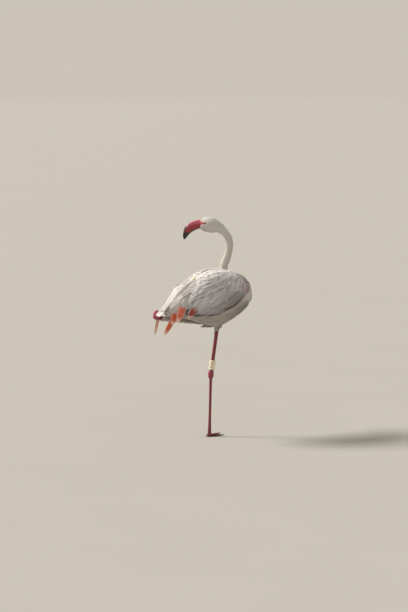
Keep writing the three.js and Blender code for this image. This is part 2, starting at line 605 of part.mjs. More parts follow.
// Ring on the standing shank.
const ringHalf = (BAND.to - BAND.from) / 2;
const ringProfile = [[BAND.inner, -1], [BAND.outer, -1], [BAND.outer, 1], [BAND.inner, 1], [BAND.inner, -1]];
const ringPoints = ringProfile.map(([radius, end]) => new THREE.Vector2(radius, end * ringHalf));
const shankLean = SHANK_TOP_RIGHT.clone().sub(HOCK_RIGHT).normalize();
const ringUp = (BAND.from + BAND.to) / 2 - HOCK_RIGHT.z;
const ringCentre = HOCK_RIGHT.clone().addScaledVector(shankLean, ringUp / shankLean.z);
const ring = new THREE.LatheGeometry(ringPoints, 20);
ring.applyQuaternion(new THREE.Quaternion().setFromUnitVectors(new THREE.Vector3(0, 1, 0), shankLean));
add("leg_ring", solid(ring.translate(ringCentre.x, ringCentre.y, ringCentre.z)), "ring");

flamingo.position.copy(FOOT).negate(); // the sole is the origin

export default flamingo;
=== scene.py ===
# %% [markdown]
# # A flamingo on one leg
#
# The solids of the bird come ready made, at life size, in a frame that nothing here may move. This lesson
# gives them their looks: one skin under everything, thousands of feathers laid over it, horn for the bill
# and claws, scales on the legs, and a light to see them by. Each step starts with a few words on what the
# real thing is, how it could be made, and why this way was chosen.

# %% Open the frame
import itertools
import math

import bmesh
import bpy
import numpy as np
from mathutils import Matrix, Vector
from mathutils.bvhtree import BVHTree


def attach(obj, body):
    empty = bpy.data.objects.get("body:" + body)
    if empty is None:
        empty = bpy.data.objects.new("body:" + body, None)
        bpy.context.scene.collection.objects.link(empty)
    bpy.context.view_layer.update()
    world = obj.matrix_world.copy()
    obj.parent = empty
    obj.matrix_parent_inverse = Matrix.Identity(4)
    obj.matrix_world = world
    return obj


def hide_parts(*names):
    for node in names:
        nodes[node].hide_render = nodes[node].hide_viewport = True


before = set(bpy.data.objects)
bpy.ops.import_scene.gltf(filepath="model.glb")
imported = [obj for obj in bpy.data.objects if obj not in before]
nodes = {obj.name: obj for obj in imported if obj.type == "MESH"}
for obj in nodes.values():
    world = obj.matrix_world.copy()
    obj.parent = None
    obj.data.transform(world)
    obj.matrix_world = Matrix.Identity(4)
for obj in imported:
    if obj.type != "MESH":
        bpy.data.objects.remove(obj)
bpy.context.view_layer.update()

scene = bpy.context.scene
print("solids in the frame:", len(nodes))

# %% [markdown]
# ## Lengths, places and chance
#
# Blender counts in metres, but a bird is easier to describe in millimetres, so every size below is written
# in them and multiplied once. Feathers also need a little chance in them. One seeded generator gives it, so
# that the bird comes out the same each time.

# %% Millimetres and chance
MM = 0.001
chance = np.random.default_rng(1758)
SIDES = (("right", -1), ("left", 1))    # the bird's right is towards minus y
UPWARD = np.array((0.0, 0.0, 1.0))


def mm(*numbers):
    """A place or a direction given in millimetres."""
    return MM * np.array(numbers, float)


def unit(vectors):
    """The same vectors, one long."""
    return vectors / np.maximum(np.linalg.norm(vectors, axis=-1, keepdims=True), 1e-12)


def ease(x, low, high):
    """0 below low, 1 above high, and a soft step between them."""
    t = np.clip((np.asarray(x, float) - low) / (high - low), 0.0, 1.0)
    return t * t * (3 - 2 * t)


def between(x, knots, values):
    """A value read off a line of straight stretches."""
    return np.interp(x, knots, values)


# %% [markdown]
# ## The camera
#
# The bird is seen from behind its right shoulder, from well above the ground and from a long way off, so
# that the long lens flattens it. A camera can be aimed by an angle for each axis, or by a target point. The
# target is easier to think about: the camera stands back from it along the line of sight.

# %% Camera
VIEW_AZIMUTH = math.radians(-35)
VIEW_DISTANCE = 8000 * MM
CAMERA_HEIGHT = 1550 * MM
AIM = Vector(mm(-15.25, 22.68, 608))
LENS = 103.0

towards_camera = Vector((math.sin(VIEW_AZIMUTH), -math.cos(VIEW_AZIMUTH), 0))
screen_right = Vector((math.cos(VIEW_AZIMUTH), math.sin(VIEW_AZIMUTH), 0))
camera = bpy.data.objects.new("camera", bpy.data.cameras.new("camera"))
scene.collection.objects.link(camera)
camera.data.lens = LENS
camera.location = AIM + towards_camera * VIEW_DISTANCE
camera.location.z = CAMERA_HEIGHT
camera.rotation_euler = (AIM - camera.location).to_track_quat("-Z", "Y").to_euler()
scene.camera = camera
scene.view_settings.view_transform = "Standard"
print("camera at", [round(v, 2) for v in camera.location])

# %% [markdown]
# ## Light and floor
#
# White feathers need a light that comes from one side, or their edges vanish. A large soft lamp stands up
# and to the left, a little behind the bird, as an afternoon sun would. A weaker one opens the shadows from
# the front, and evenly pale air all round does the rest. The floor is a plain wide sheet, far too large to
# show an edge.

# %% Light and floor
def paint(code):
    """A colour written as six hex digits, as Blender's own linear values."""
    parts = [int(code[i:i + 2], 16) / 255 for i in (0, 2, 4)]
    return [((v + 0.055) / 1.055) ** 2.4 if v > 0.04045 else v / 12.92 for v in parts]


def soft_lamp(name, direction, spread, strength, colour):
    """A far lamp, as wide in the sky as its spread says, so that its light is even over the floor."""
    data = bpy.data.lights.new(name, "SUN")
    data.angle = math.radians(spread)
    data.energy = strength
    data.color = paint(colour)
    lamp = bpy.data.objects.new(name, data)
    scene.collection.objects.link(lamp)
    lamp.rotation_euler = direction.to_track_quat("Z", "Y").to_euler()


up = Vector((0, 0, 1))
from_the_left = -0.90 * screen_right + 0.78 * up - 0.10 * towards_camera
from_the_front = 0.1 * screen_right + 0.4 * up + towards_camera
soft_lamp("key", from_the_left, spread=16, strength=4.6, colour="fff8ee")
soft_lamp("fill", from_the_front, spread=50, strength=0.35, colour="dfe8ff")

air = bpy.data.worlds.new("air")
air.use_nodes = True
air.node_tree.nodes["Background"].inputs["Color"].default_value = (*paint("cbc4b7"), 1)
scene.world = air

FLOOR_HALF = 900
floor_corners = [(x * FLOOR_HALF, y * FLOOR_HALF, 0) for x, y in ((-1, -1), (1, -1), (1, 1), (-1, 1))]
floor_mesh = bpy.data.meshes.new("floor")
floor_mesh.from_pydata(floor_corners, [], [(0, 1, 2, 3)])
floor = bpy.data.objects.new("floor", floor_mesh)
scene.collection.objects.link(floor)

# %% [markdown]
# ## A short way to wire a finish
#
# Every finish is a Principled shader with a few nodes in front of it. Wiring those one by one is long to
# read, so a small helper holds the tree and joins things by name. A value that is the same all over is set
# on the shader itself.

# %% Finishes
class Finish:
    """A material, and short ways to add nodes to it."""

    def __init__(self, name, **constants):
        self.material = bpy.data.materials.new(name)
        self.material.use_nodes = True
        self.tree = self.material.node_tree
        self.shader = self.tree.nodes["Principled BSDF"]
        for socket, value in constants.items():
            self.shader.inputs[socket.replace("_", " ")].default_value = value

    def node(self, kind, **settings):
        """A new node of the tree, with its settings."""
        made = self.tree.nodes.new("ShaderNode" + kind)
        for key, value in settings.items():
            setattr(made, key, value)
        return made

    def feed(self, socket, source):
        """A socket takes a plain value, or another node's output."""
        if isinstance(source, bpy.types.NodeSocket):
            self.tree.links.new(source, socket)
        else:
            socket.default_value = source

    def attribute(self, name, output="Fac"):
        """What a mesh says about itself under that name."""
        return self.node("Attribute", attribute_name=name).outputs[output]

    def place(self):
        """The place on the object itself, in metres."""
        return self.node("TexCoord").outputs["Object"]

    def noise(self, scale, detail=3.0, roughness=0.55):
        """A soft cloudy value, with so many clouds to the metre."""
        made = self.node("TexNoise")
        self.feed(made.inputs["Vector"], self.place())
        made.inputs["Scale"].default_value = scale
        made.inputs["Detail"].default_value = detail
        made.inputs["Roughness"].default_value = roughness
        return made.outputs["Fac"]

    def math(self, operation, *values):
        """One sum worked out of one, two or three values."""
        made = self.node("Math", operation=operation)
        for socket, value in zip(made.inputs, values):
            self.feed(socket, value)
        return made.outputs[0]

    def span(self, value, low, high, to_low=0.0, to_high=1.0):
        """A value stretched from one span to another, and kept inside it."""
        made = self.node("MapRange")
        for name, source in (("Value", value), ("From Min", low), ("From Max", high),
                             ("To Min", to_low), ("To Max", to_high)):
            self.feed(made.inputs[name], source)
        return made.outputs["Result"]

    def mix(self, share, first, second, blend="MIX"):
        """Two colours mixed, or multiplied, by a share."""
        made = self.node("Mix", data_type="RGBA", blend_type=blend)
        self.feed(made.inputs["Factor"], share)
        for socket, source in ((made.inputs[6], first), (made.inputs[7], second)):
            plain = not isinstance(source, bpy.types.NodeSocket)
            self.feed(socket, (*source, 1)[:4] if plain else source)
        return made.outputs[2]

    def bump(self, height, depth, strength):
        """Small relief, from a height between 0 and 1 and how deep that is in metres."""
        made = self.node("Bump")
        made.inputs["Strength"].default_value = strength
        made.inputs["Distance"].default_value = depth
        self.feed(made.inputs["Height"], height)
        return made.outputs["Normal"]

    def wear(self, **sources):
        """Joins outputs to the shader's own sockets."""
        for socket, source in sources.items():
            self.feed(self.shader.inputs[socket.replace("_", " ")], source)
        return self.material


floor_finish = Finish("pale_floor", Roughness=0.8)
floor_tone = floor_finish.mix(floor_finish.noise(1.5), paint("a09f9b"), paint("a5a4a0"))
floor.data.materials.append(floor_finish.wear(Base_Color=floor_tone))
print("finish:", floor_finish.material.name)

# %% [markdown]
# ## Reading and writing a mesh
#
# Thousands of points are slow to visit one by one. Blender can hand them over as one long row of numbers,
# and numpy then works on all of them at once. These helpers fetch and store points, and leave notes on a
# mesh, such as a tint or a place along a feather, that a finish can read later.

# %% Points, edges and notes
def fetched(items, field, width, kind=np.float32):
    """One field of every item of a mesh, as rows."""
    flat = np.empty(width * len(items), kind)
    items.foreach_get(field, flat)
    return flat.reshape(-1, width)


def points_of(mesh):
    """Every vertex of a mesh, as rows of x, y, z."""
    return fetched(mesh.vertices, "co", 3).astype(float)


def normals_of(mesh):
    """Which way the mesh faces at every vertex."""
    return fetched(mesh.vertices, "normal", 3).astype(float)


def edges_of(mesh):
    """The two vertices of every edge, by number."""
    return fetched(mesh.edges, "vertices", 2, np.int32)


def put_points(mesh, points):
    """Moves every vertex of a mesh to its new place."""
    mesh.vertices.foreach_set("co", np.asarray(points, np.float32).ravel())
    mesh.update()


def note(mesh, name, values, kind="FLOAT", domain="POINT"):
    """Stores a number or a colour for every point, or a yes or no for every edge."""
    values = np.asarray(values)
    field = "value"
    if kind == "FLOAT_COLOR":
        values = np.concatenate([values, np.ones((len(values), 1))], axis=1)
        field = "color"
    if kind != "BOOLEAN":
        values = values.astype(np.float32)
    mesh.attributes.new(name, kind, domain).data.foreach_set(field, values.ravel())


def hide_facets(mesh, hide=True):
    """Shades a mesh smoothly, or flatly."""
    mesh.polygons.foreach_set("use_smooth", np.full(len(mesh.polygons), hide))


print("vertices of the solid trunk:", len(points_of(nodes["trunk"].data)))

# %% [markdown]
# ## One skin
#
# On the bird a single hide runs from the face to the toes. In the frame it is cut into parts with hairline
# gaps. The parts could be stitched by hand, or joined with boolean cuts, but the simplest way to lose every
# gap at once is to copy them into one mesh and rebuild it from small cubes of space: a voxel remesh. Cubes
# of just over a millimetre close the gaps and still keep the webs of the feet. The claws go in as well, so
# that the toes are full right to their ends. They get a finer mesh of their own later.

# %% Join the parts of flesh
FLESH_NAMES = ("trunk", "wing", "neck", "head", "thigh", "shank", "hock", "tarsus", "foot")
flesh = [name for name in nodes if name.startswith(FLESH_NAMES)]
claw_names = [name for name in nodes if name.startswith("claw")]
SKIN_CUBE = 1.25 * MM
SKIN_SWELL = 0.6 * MM


def modified(thing):
    """The thing's mesh, with its modifiers worked in and taken off."""
    layer = bpy.context.evaluated_depsgraph_get()
    mesh = bpy.data.meshes.new_from_object(thing.evaluated_get(layer))
    thing.modifiers.clear()
    thing.data = mesh
    return mesh


def remeshed(name, parts, cube, swell=0.0):
    """Solids of the frame, swelled if asked and rebuilt as one mesh from small cubes."""
    gathered = bmesh.new()
    for part in parts:
        gathered.from_mesh(nodes[part].data)
    if swell:
        gathered.normal_update()
        for corner in gathered.verts:
            corner.co += corner.normal * swell
    thing = bpy.data.objects.new(name, bpy.data.meshes.new(name))
    scene.collection.objects.link(thing)
    gathered.to_mesh(thing.data)
    gathered.free()
    cubes = thing.modifiers.new("cubes", "REMESH")
    cubes.mode = "VOXEL"
    cubes.voxel_size = cube
    modified(thing)
    return thing


skin = remeshed("skin", flesh + claw_names, SKIN_CUBE, SKIN_SWELL)
put_points(skin.data, points_of(skin.data) - SKIN_SWELL * normals_of(skin.data))
print("parts of flesh:", len(flesh), "skin points:", len(skin.data.vertices))

# %% [markdown]
# ## Which part each point belongs to
#
# Each point of the new skin has to know which part of the bird it belongs to: legs stay bare, and the back
# is thinned more than the face. The nearest face of the old parts tells. A tree of boxes (a BVH) finds the
# nearest face in a few millionths of a second, so asking for every point is no trouble.

# %% Ask the solids
part_points, part_faces, part_of_face = [], [], []
for number, name in enumerate(flesh):
    mesh = nodes[name].data
    start = len(part_points)
    part_points.extend(vertex.co.copy() for vertex in mesh.vertices)
    part_faces.extend([start + i for i in face.vertices] for face in mesh.polygons)
    part_of_face.extend([number] * len(mesh.polygons))
part_tree = BVHTree.FromPolygons(part_points, part_faces)
part_of_face = np.array(part_of_face)


def parts_at(points):
    """The name of the nearest part of flesh, for each point."""
    nearest = [part_tree.find_nearest(point)[2] for point in points]
    return np.array(flesh)[part_of_face[nearest]]


def is_part(names, *starts):
    """Which of these names start with one of those words."""
    return np.isin(names, [name for name in flesh if name.startswith(starts)])


raw = points_of(skin.data)
raw_parts = parts_at(raw)
under_feathers = is_part(raw_parts, "trunk", "wing", "neck_lower", "thigh")
neck_skin = is_part(raw_parts, "neck_middle", "neck_upper")
print("points under feathers:", int(under_feathers.sum()), "of", len(raw))

# %% [markdown]
# ## Smooth the cubes and the cuts away
#
# Small cubes leave steps, and the cuts between the solids of the neck and of the legs leave creases. Both
# go when every point moves part of the way to the middle of its neighbours, many times over. The share of
# the way is large under feathers, small on the feet, where the webs are thin, and largest at the cuts.

# %% Smooth the raw skin
FEATHERED_SHARE, FOOT_SHARE, OTHER_SHARE = 0.6, 0.12, 0.35
CUT_SHARE = 0.8
RAW_ROUNDS, CUT_ROUNDS = 8, 70
NECK_CUTS = mm((122, 110, 964), (190, 95, 880), (160, 116, 770))
CUT_REACH = 36 * MM


def smoothed(points, edges, share, times):
    """Moves each point towards the middle of its neighbours, by a share of the way, so many times."""
    first, second = edges.T
    count = np.maximum(np.bincount(edges.ravel(), minlength=len(points)), 1)
    for _ in range(times):
        for axis in range(3):
            column = points[:, axis]
            total = np.bincount(first, column[second], len(points))
            total += np.bincount(second, column[first], len(points))
            points[:, axis] = column + share * (total / count - column)
    return points


raw_edges = edges_of(skin.data)
raw_share = np.where(is_part(raw_parts, "foot"), FOOT_SHARE, OTHER_SHARE)
raw_share[under_feathers | neck_skin] = FEATHERED_SHARE
raw = smoothed(raw, raw_edges, raw_share, RAW_ROUNDS)
near_cut = np.linalg.norm(raw[:, None] - NECK_CUTS[None], axis=2).min(axis=1) < CUT_REACH
near_cut &= is_part(raw_parts, "head", "neck")
near_cut |= is_part(raw_parts, "hock")
put_points(skin.data, smoothed(raw, raw_edges, np.where(near_cut, CUT_SHARE, 0.0), CUT_ROUNDS))
print("points at the cuts:", int(near_cut.sum()))

# %% [markdown]
# ## Thin the skin out
#
# A millimetre is far finer than the back needs, since feathers will cover it. A Decimate modifier takes
# faces away where a vertex group lets it: freely under the body feathers, a little on the neck, and nowhere
# else.

# %% Thin the skin out where feathers will hide it
THINNED_TO = 0.29
NECK_THINNING = 0.25
hidden = skin.vertex_groups.new(name="hidden")
hidden.add(np.flatnonzero(under_feathers).tolist(), 1.0, "REPLACE")
hidden.add(np.flatnonzero(neck_skin).tolist(), NECK_THINNING, "REPLACE")
thinning = skin.modifiers.new("thinning", "DECIMATE")
thinning.ratio = THINNED_TO
thinning.vertex_group = hidden.name
modified(skin)
skin.vertex_groups.clear()
print("skin points left:", len(skin.data.vertices))

# %% [markdown]
# ## Sink the skin by the depth of the coat
#
# The solids show the bird as it looks, feathers and all, so the skin has to lie deeper: by several
# millimetres on the body, by one on the face, and not at all on the legs. Each part has its own depth. The
# depths are blurred over the mesh first, so that no step shows where two parts meet, and the body is
# smoothed until the facets of the solids are gone. Each smoothing step is followed by one that swells the
# body back, so that it doesn't shrink.

# %% Coat depth
COAT_DEPTH = {"trunk": 5.5, "wing": 5.5, "thigh": 4.0, "neck_lower": 4.0, "neck_middle": 2.2,
              "neck_upper": 1.8, "head": 1.0}
DEPTH_BLUR = 14
DEEPEST_BARE = 0.3 * MM
skin_points = points_of(skin.data)
skin_parts = parts_at(skin_points)
skin_edges = edges_of(skin.data)
depth = np.zeros(len(skin_points))
for start, millimetres in COAT_DEPTH.items():
    depth[is_part(skin_parts, start)] = millimetres * MM
bare = depth == 0
depth = smoothed(depth[:, None].repeat(3, axis=1), skin_edges, 0.6, DEPTH_BLUR)[:, 0]
depth[bare] = np.minimum(depth[bare], DEEPEST_BARE)
print("deepest coat, mm:", round(1000 * float(depth.max()), 1))

# %% [markdown]
# The body is smoothed before it sinks. At the nape the coat stands up, so there the skin is raised first.
# A last light smoothing takes out what the sinking left.

# %% Sink the skin
BODY_SMOOTHING = 24
SHRINK, SWELL_BACK = 0.6, -0.62
NAPE = mm(141, 100, 973)
NAPE_REACH, NAPE_SWELL = 26 * MM, 7 * MM
big_parts = is_part(skin_parts, "trunk", "wing", "neck_lower", "thigh")
for _ in range(BODY_SMOOTHING):
    skin_points = smoothed(skin_points, skin_edges, np.where(big_parts, SHRINK, 0.0), 1)
    skin_points = smoothed(skin_points, skin_edges, np.where(big_parts, SWELL_BACK, 0.0), 1)
put_points(skin.data, skin_points)
skin_normals = normals_of(skin.data)
nape_swell = NAPE_SWELL * np.exp(-(np.linalg.norm(skin_points - NAPE, axis=1) / NAPE_REACH) ** 2)
nape_swell *= ease(skin_normals[:, 2], 0.0, 0.5)
put_points(skin.data, skin_points + (nape_swell - depth)[:, None] * skin_normals)
skin_points = smoothed(points_of(skin.data), skin_edges, np.where(bare, 0.0, 0.5), 4)
put_points(skin.data, skin_points)
hide_facets(skin.data)
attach(skin, "root")
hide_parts(*flesh)
print("skin faces:", len(skin.data.polygons))

# %% [markdown]
# ## Which way the feathers lie
#
# Feathers point away from the bill: back over the head, down the neck, and along the body to the tail. On
# the folded wing they also sweep down, and on the belly they run level. Each feather could be aimed by
# hand, but there are thousands. So one function gives the way for any place, and every feather asks it as
# it grows. The neck is the hard part, because it bends round on itself. There the way follows a line that
# runs up the middle of the neck.

# %% The line up the middle of the neck
NECK_KNOTS = mm(
    (150, 15, 640), (198, 29, 638), (232, 53, 642), (247, 87, 660), (238, 115, 690), (208, 126, 718),
    (172, 123, 743), (160, 115, 772), (174, 106, 818), (182, 97, 868), (176, 93, 904), (158, 97, 932),
    (134, 108, 953), (110, 121, 966), (82, 138, 974), (56, 156, 974),
)


def smooth_line(knots, count):
    """Points on a smooth line through the knots. Count is how many, or where they are, from 0 to 1."""
    knots = np.asarray(knots, float)
    ends = np.vstack([2 * knots[0] - knots[1], knots, 2 * knots[-1] - knots[-2]])
    at = (np.linspace(0, 1, count) if np.isscalar(count) else count) * (len(knots) - 1)
    i = np.minimum(at.astype(int), len(knots) - 2)
    t = (at - i)[:, None]
    a, b, c, d = (ends[i + k] for k in range(4))
    curved = (2 * a - 5 * b + 4 * c - d) * t ** 2 + (3 * b - a - 3 * c + d) * t ** 3
    return 0.5 * (2 * b + (c - a) * t + curved)


neck_line = smooth_line(NECK_KNOTS, 300)[::-1]
neck_steps = np.diff(neck_line, axis=0)
neck_back = np.concatenate([[0], np.cumsum(np.linalg.norm(neck_steps, axis=1))])
neck_way = unit(np.gradient(neck_line, axis=0))
NECK_RADIUS = mm(22, 38, 24, 19, 18, 20, 23, 33, 46, 50)
NECK_RADIUS_AT = mm(0, 45, 86, 112, 180, 260, 330, 450, 520, 560)
print("length of head and neck, mm:", round(1000 * neck_back[-1]))

# %% [markdown]
# Away from the neck the height on the body decides. Feathers of the back lie level, those of the flank and
# the wing droop most, and those of the belly run level again. Near the neck its own way takes over softly.
# Just above its root the feathers point up and back, which closes the parting between neck and breast.

# %% The way of the feathers
BODY_X = mm(-250, -150, -60, 40, 120, 217)
BACK_Z = mm(600, 725, 785, 800, 788, 690)
BELLY_Z = mm(590, 556, 530, 512, 540, 600)
DROOP_AT = (0.0, 0.15, 0.3, 0.5, 0.75, 0.88, 1.0)
DROOP = (0, 18, 46, 55, 52, 34, 14)
PARTING_RISE = 30
MIDDLE_Y = -3 * MM
THIGH_X, THIGH_REACH, THIGH_TOP = mm(45, 50, 535)


def neck_places(points):
    """How far back from the bill each point is, how far from the neck's line, and the line's way there."""
    away = np.linalg.norm(points[:, None] - neck_line[None], axis=2)
    nearest = away.argmin(axis=1)
    return neck_back[nearest], away[np.arange(len(points)), nearest], neck_way[nearest]


def body_height(points):
    """0 at the belly and 1 at the back, at that place along the body."""
    belly = between(points[:, 0], BODY_X, BELLY_Z)
    back = between(points[:, 0], BODY_X, BACK_Z)
    return (points[:, 2] - belly) / (back - belly)


def above_parting(points):
    """1 just above the root of the neck, and 0 away from it."""
    x, y, z = points.T
    return ease(x, 0.14, 0.18) * ease(z, 0.64, 0.67) * (1 - ease(np.abs(y - MIDDLE_Y), 0.03, 0.07))


def lie(points):
    """The way feathers point at each place, before it is laid along the skin."""
    points = np.asarray(points)
    raised = above_parting(points)
    droop = np.radians(between(body_height(points), DROOP_AT, DROOP) * (1 - raised) - PARTING_RISE * raised)
    body_way = np.stack([-np.cos(droop), np.zeros(len(points)), -np.sin(droop)], axis=1)
    back, gap, along_neck = neck_places(points)
    radius = between(back, NECK_RADIUS_AT, NECK_RADIUS)
    on_neck = (1 - ease(gap / radius, 1.2, 1.7)) * (1 - ease(back, 0.44, 0.54))
    leg_top = (points[:, 2] < THIGH_TOP) & (np.abs(points[:, 0] - THIGH_X) < THIGH_REACH)
    way = body_way * (1 - on_neck[:, None]) + along_neck * on_neck[:, None]
    way[leg_top] = (-0.12, 0.03, -1)
    return unit(way)


print("way on the right wing:", lie(mm((0, -100, 680)))[0].round(2))

# %% [markdown]
# ## How a feather is made
#
# A feather is a thin blade: two webs that fall away from a middle shaft, broad near its root and rounded or
# pointed at its tip. Up close it is a closed, paper-thin solid. It could be one mesh drawn once and copied,
# but copies can't follow the curve of a breast or a back. So each feather is grown: its middle line takes a
# few steps over the skin, asks the way at each step, and lifts off as it goes, so that its tip lies on top
# of the next feather's root, like slates on a roof. All the feathers of a piece are grown at once, as one
# big table of points, which keeps it quick.

# %% Outlines of feathers, from the root at 0 to the tip at 1
def rounded_outline(u):
    """A body feather: quickly broad, with a round tip."""
    return np.sin(np.pi * u ** 0.7) ** 0.5


def pointed_outline(u):
    """A long drooping plume: broadest near its root, then a slow taper to a blunt tip."""
    return np.sin(np.pi * u ** 0.6) ** 0.66


def strap_outline(u):
    """A flight feather: the same width nearly all along."""
    return np.minimum(1, (u / 0.12) ** 0.5) * (1 - u ** 7) ** 0.5


def shares(stations):
    """Where the stations of a feather lie, from root to tip: closer towards the tip, to round it."""
    return 1 - (1 - np.linspace(0, 1, stations)) ** 1.6


print("stations of a short feather:", shares(5).round(2))

# %% [markdown]
# A feather's middle line is walked out over the skin, one station at a time. At each station the way is
# laid flat on the skin, turned by the feather's own small swing, and followed to the next station.

# %% Walk over the skin
skin_faces = [face.vertices[:] for face in skin.data.polygons]
skin_tree = BVHTree.FromPolygons([vertex.co.copy() for vertex in skin.data.vertices], skin_faces)


def on_skin(points):
    """The nearest places on the skin, and which way it faces there."""
    found = [skin_tree.find_nearest(point) for point in points]
    places = np.array([hit[0] for hit in found])
    facings = np.array([hit[1] for hit in found])
    return places, facings


def turned(vectors, axes, angles):
    """Vectors turned about axes that they stand square to."""
    angles = np.asarray(angles)[:, None]
    return vectors * np.cos(angles) + np.cross(axes, vectors) * np.sin(angles)


def walk(roots, lengths, stations, swing, way=lie):
    """The middle line of each feather on the skin. Returns its places and the skin's facings, by station."""
    places, facings = on_skin(roots)
    lines, ups = [places], [facings]
    for step in np.diff(shares(stations)):
        heading = way(places)
        heading = unit(heading - facings * (heading * facings).sum(axis=1, keepdims=True))
        heading = turned(heading, facings, swing)
        places, facings = on_skin(places + heading * (lengths * step)[:, None])
        lines.append(places)
        ups.append(unit(facings + 0.5 * ups[-1]))
    return np.array(lines), np.array(ups)


print("skin faces to walk on:", len(skin_faces))

# %% [markdown]
# ## From middle lines to blades
#
# The middle line gets a width to both sides. At each station stands a flat ring of points, which runs out
# over the top of the blade and back under it: thickest at the shaft and thin at the rims, with both webs
# falling away a little. Bands of faces join the rings, and a fan closes each end. A chance raggedness moves
# the rims in and out. Every point also notes where it is along and across the blade, for the finish.

# %% Blades
RIM = 0.9


def blades(line, ups, half_width, outline, thick, camber, columns, roll, ragged):
    """Closed blades round middle lines. Every array goes by station, then feather."""
    stations, count = line.shape[:2]
    u = shares(stations)
    inner = slice(1, stations - 1)
    along = unit(np.gradient(line, axis=0))
    side = unit(np.cross(along, ups))
    ups = unit(np.cross(side, along))
    roll = roll[None, :, None]
    side, ups = side * np.cos(roll) + ups * np.sin(roll), ups * np.cos(roll) - side * np.sin(roll)
    across = np.linspace(-1, 1, columns)
    ring = np.concatenate([across, across[-2:0:-1]])
    face = np.concatenate([np.ones(columns), -np.ones(columns - 2)])
    tatters = chance.uniform(-1, 0.4, (stations - 2, len(ring), count)) * (np.abs(ring) > RIM)[None, :, None]
    width = (outline(u)[:, None] * half_width[None])[inner][:, None]
    reach = width * ring[None, :, None] * (1 + ragged * tatters)
    fall = -camber * width * ring[None, :, None] ** 2
    swell = face[None, :, None] * thick * (1 - ring[None, :, None] ** 2)
    rings = (line[inner][:, None] + side[inner][:, None] * reach[..., None]
             + ups[inner][:, None] * (fall + swell)[..., None])
    points = np.concatenate([line[:1], rings.reshape(-1, count, 3), line[-1:]])
    share_along = np.concatenate([[0], np.repeat(u[inner], len(ring)), [1]])
    share_across = np.concatenate([[0], np.tile(ring, stations - 2), [0]])
    at_shaft = np.zeros((1, count))
    barbs = np.concatenate([at_shaft, np.abs(reach).reshape(-1, count), at_shaft])
    length = np.linalg.norm(np.diff(line, axis=0), axis=2).sum(axis=0)
    barbs = barbs + share_along[:, None] * length[None]
    return {"points": points.transpose(1, 0, 2), "along": share_along, "across": share_across,
            "barbs": barbs.T, "ring": len(ring), "rings": stations - 2}


def blade_faces(ring, rings):
    """Faces of one blade, as corner numbers: a fan at the root, bands, and a fan at the tip."""
    here = np.arange(ring)
    after = (here + 1) % ring
    faces = [(0, 1 + j, 1 + i) for i, j in zip(here, after)]
    for k in range(rings - 1):
        near, far = 1 + k * ring, 1 + (k + 1) * ring
        faces += [(near + i, near + j, far + j, far + i) for i, j in zip(here, after)]
    last, tip = 1 + (rings - 1) * ring, 1 + rings * ring
    faces += [(tip, last + i, last + j) for i, j in zip(here, after)]
    return faces


print("faces of one small blade:", len(blade_faces(4, 3)))

# %% [markdown]
# ## One mesh for a whole tract
#
# Thousands of objects would choke the scene, so all the blades of a tract go into one mesh, filled in one
# go from long rows of numbers. The rims are marked sharp, or the shading would smear round them. A small
# map puts each feather near the place where it grows, so that a picture baked from it keeps the order of
# the bird.

# %% Join blades into a piece
BAKE_PATCH = 0.003


def blade_corners(batch, start):
    """The corner numbers of every face of a batch, and how many corners each face has."""
    count, each = batch["points"].shape[:2]
    faces = blade_faces(batch["ring"], batch["rings"])
    template = np.concatenate([np.array(face) for face in faces])
    firsts = start + np.arange(count) * each
    return (firsts[:, None] + template[None]).ravel(), np.tile([len(face) for face in faces], count)


def blade_notes(batch):
    """What the finish reads at every point of a batch, and its spot on the map."""
    count, each = batch["points"].shape[:2]
    tint = batch["tint"]
    if tint.ndim == 2:
        tint = np.repeat(tint[:, None], each, axis=1)
    patch = np.stack([np.tile(batch["across"] / 2, count), np.tile(batch["along"] - 0.5, count)], axis=1)
    return {"along": np.tile(batch["along"], count), "across": np.tile(batch["across"], count),
            "barbs": batch["barbs"].ravel(), "shade": np.repeat(batch["shade"], each),
            "tint": tint.reshape(-1, 3), "spot": np.repeat(batch["spot"], each, axis=0) + BAKE_PATCH * patch}


def bare_mesh(name, points, corners, sizes):
    """A smooth mesh from rows of points, corner numbers and sizes of faces."""
    mesh = bpy.data.meshes.new(name)
    mesh.vertices.add(len(points))
    mesh.vertices.foreach_set("co", points.astype(np.float32).ravel())
    mesh.loops.add(len(corners))
    mesh.loops.foreach_set("vertex_index", corners.astype(np.int32))
    mesh.polygons.add(len(sizes))
    mesh.polygons.foreach_set("loop_start", np.concatenate([[0], np.cumsum(sizes)[:-1]]).astype(np.int32))
    hide_facets(mesh)
    mesh.update(calc_edges=True)
    return mesh


def feather_mesh(name, batches):
    """One mesh from batches of blades, with the notes and the map that its finish needs."""
    points = [batch["points"].reshape(-1, 3) for batch in batches]
    starts = np.cumsum([0] + [len(part) for part in points])
    corners, sizes = (np.concatenate(part) for part in zip(*map(blade_corners, batches, starts)))
    mesh = bare_mesh(name, np.concatenate(points), corners, sizes)
    noted = [blade_notes(batch) for batch in batches]
    notes = {key: np.concatenate([part[key] for part in noted]) for key in noted[0]}
    at_rim = (np.abs(notes["across"]) > 0.99) | np.isin(notes["along"], (0, 1))
    note(mesh, "sharp_edge", at_rim[edges_of(mesh)].all(axis=1), "BOOLEAN", "EDGE")
    for key in ("along", "across", "barbs", "shade"):
        note(mesh, key, notes[key])
    note(mesh, "tint", notes["tint"], "FLOAT_COLOR")
    layer = mesh.uv_layers.new(name="OFBake")
    layer.uv.foreach_set("vector", notes["spot"][corners].astype(np.float32).ravel())
    return mesh


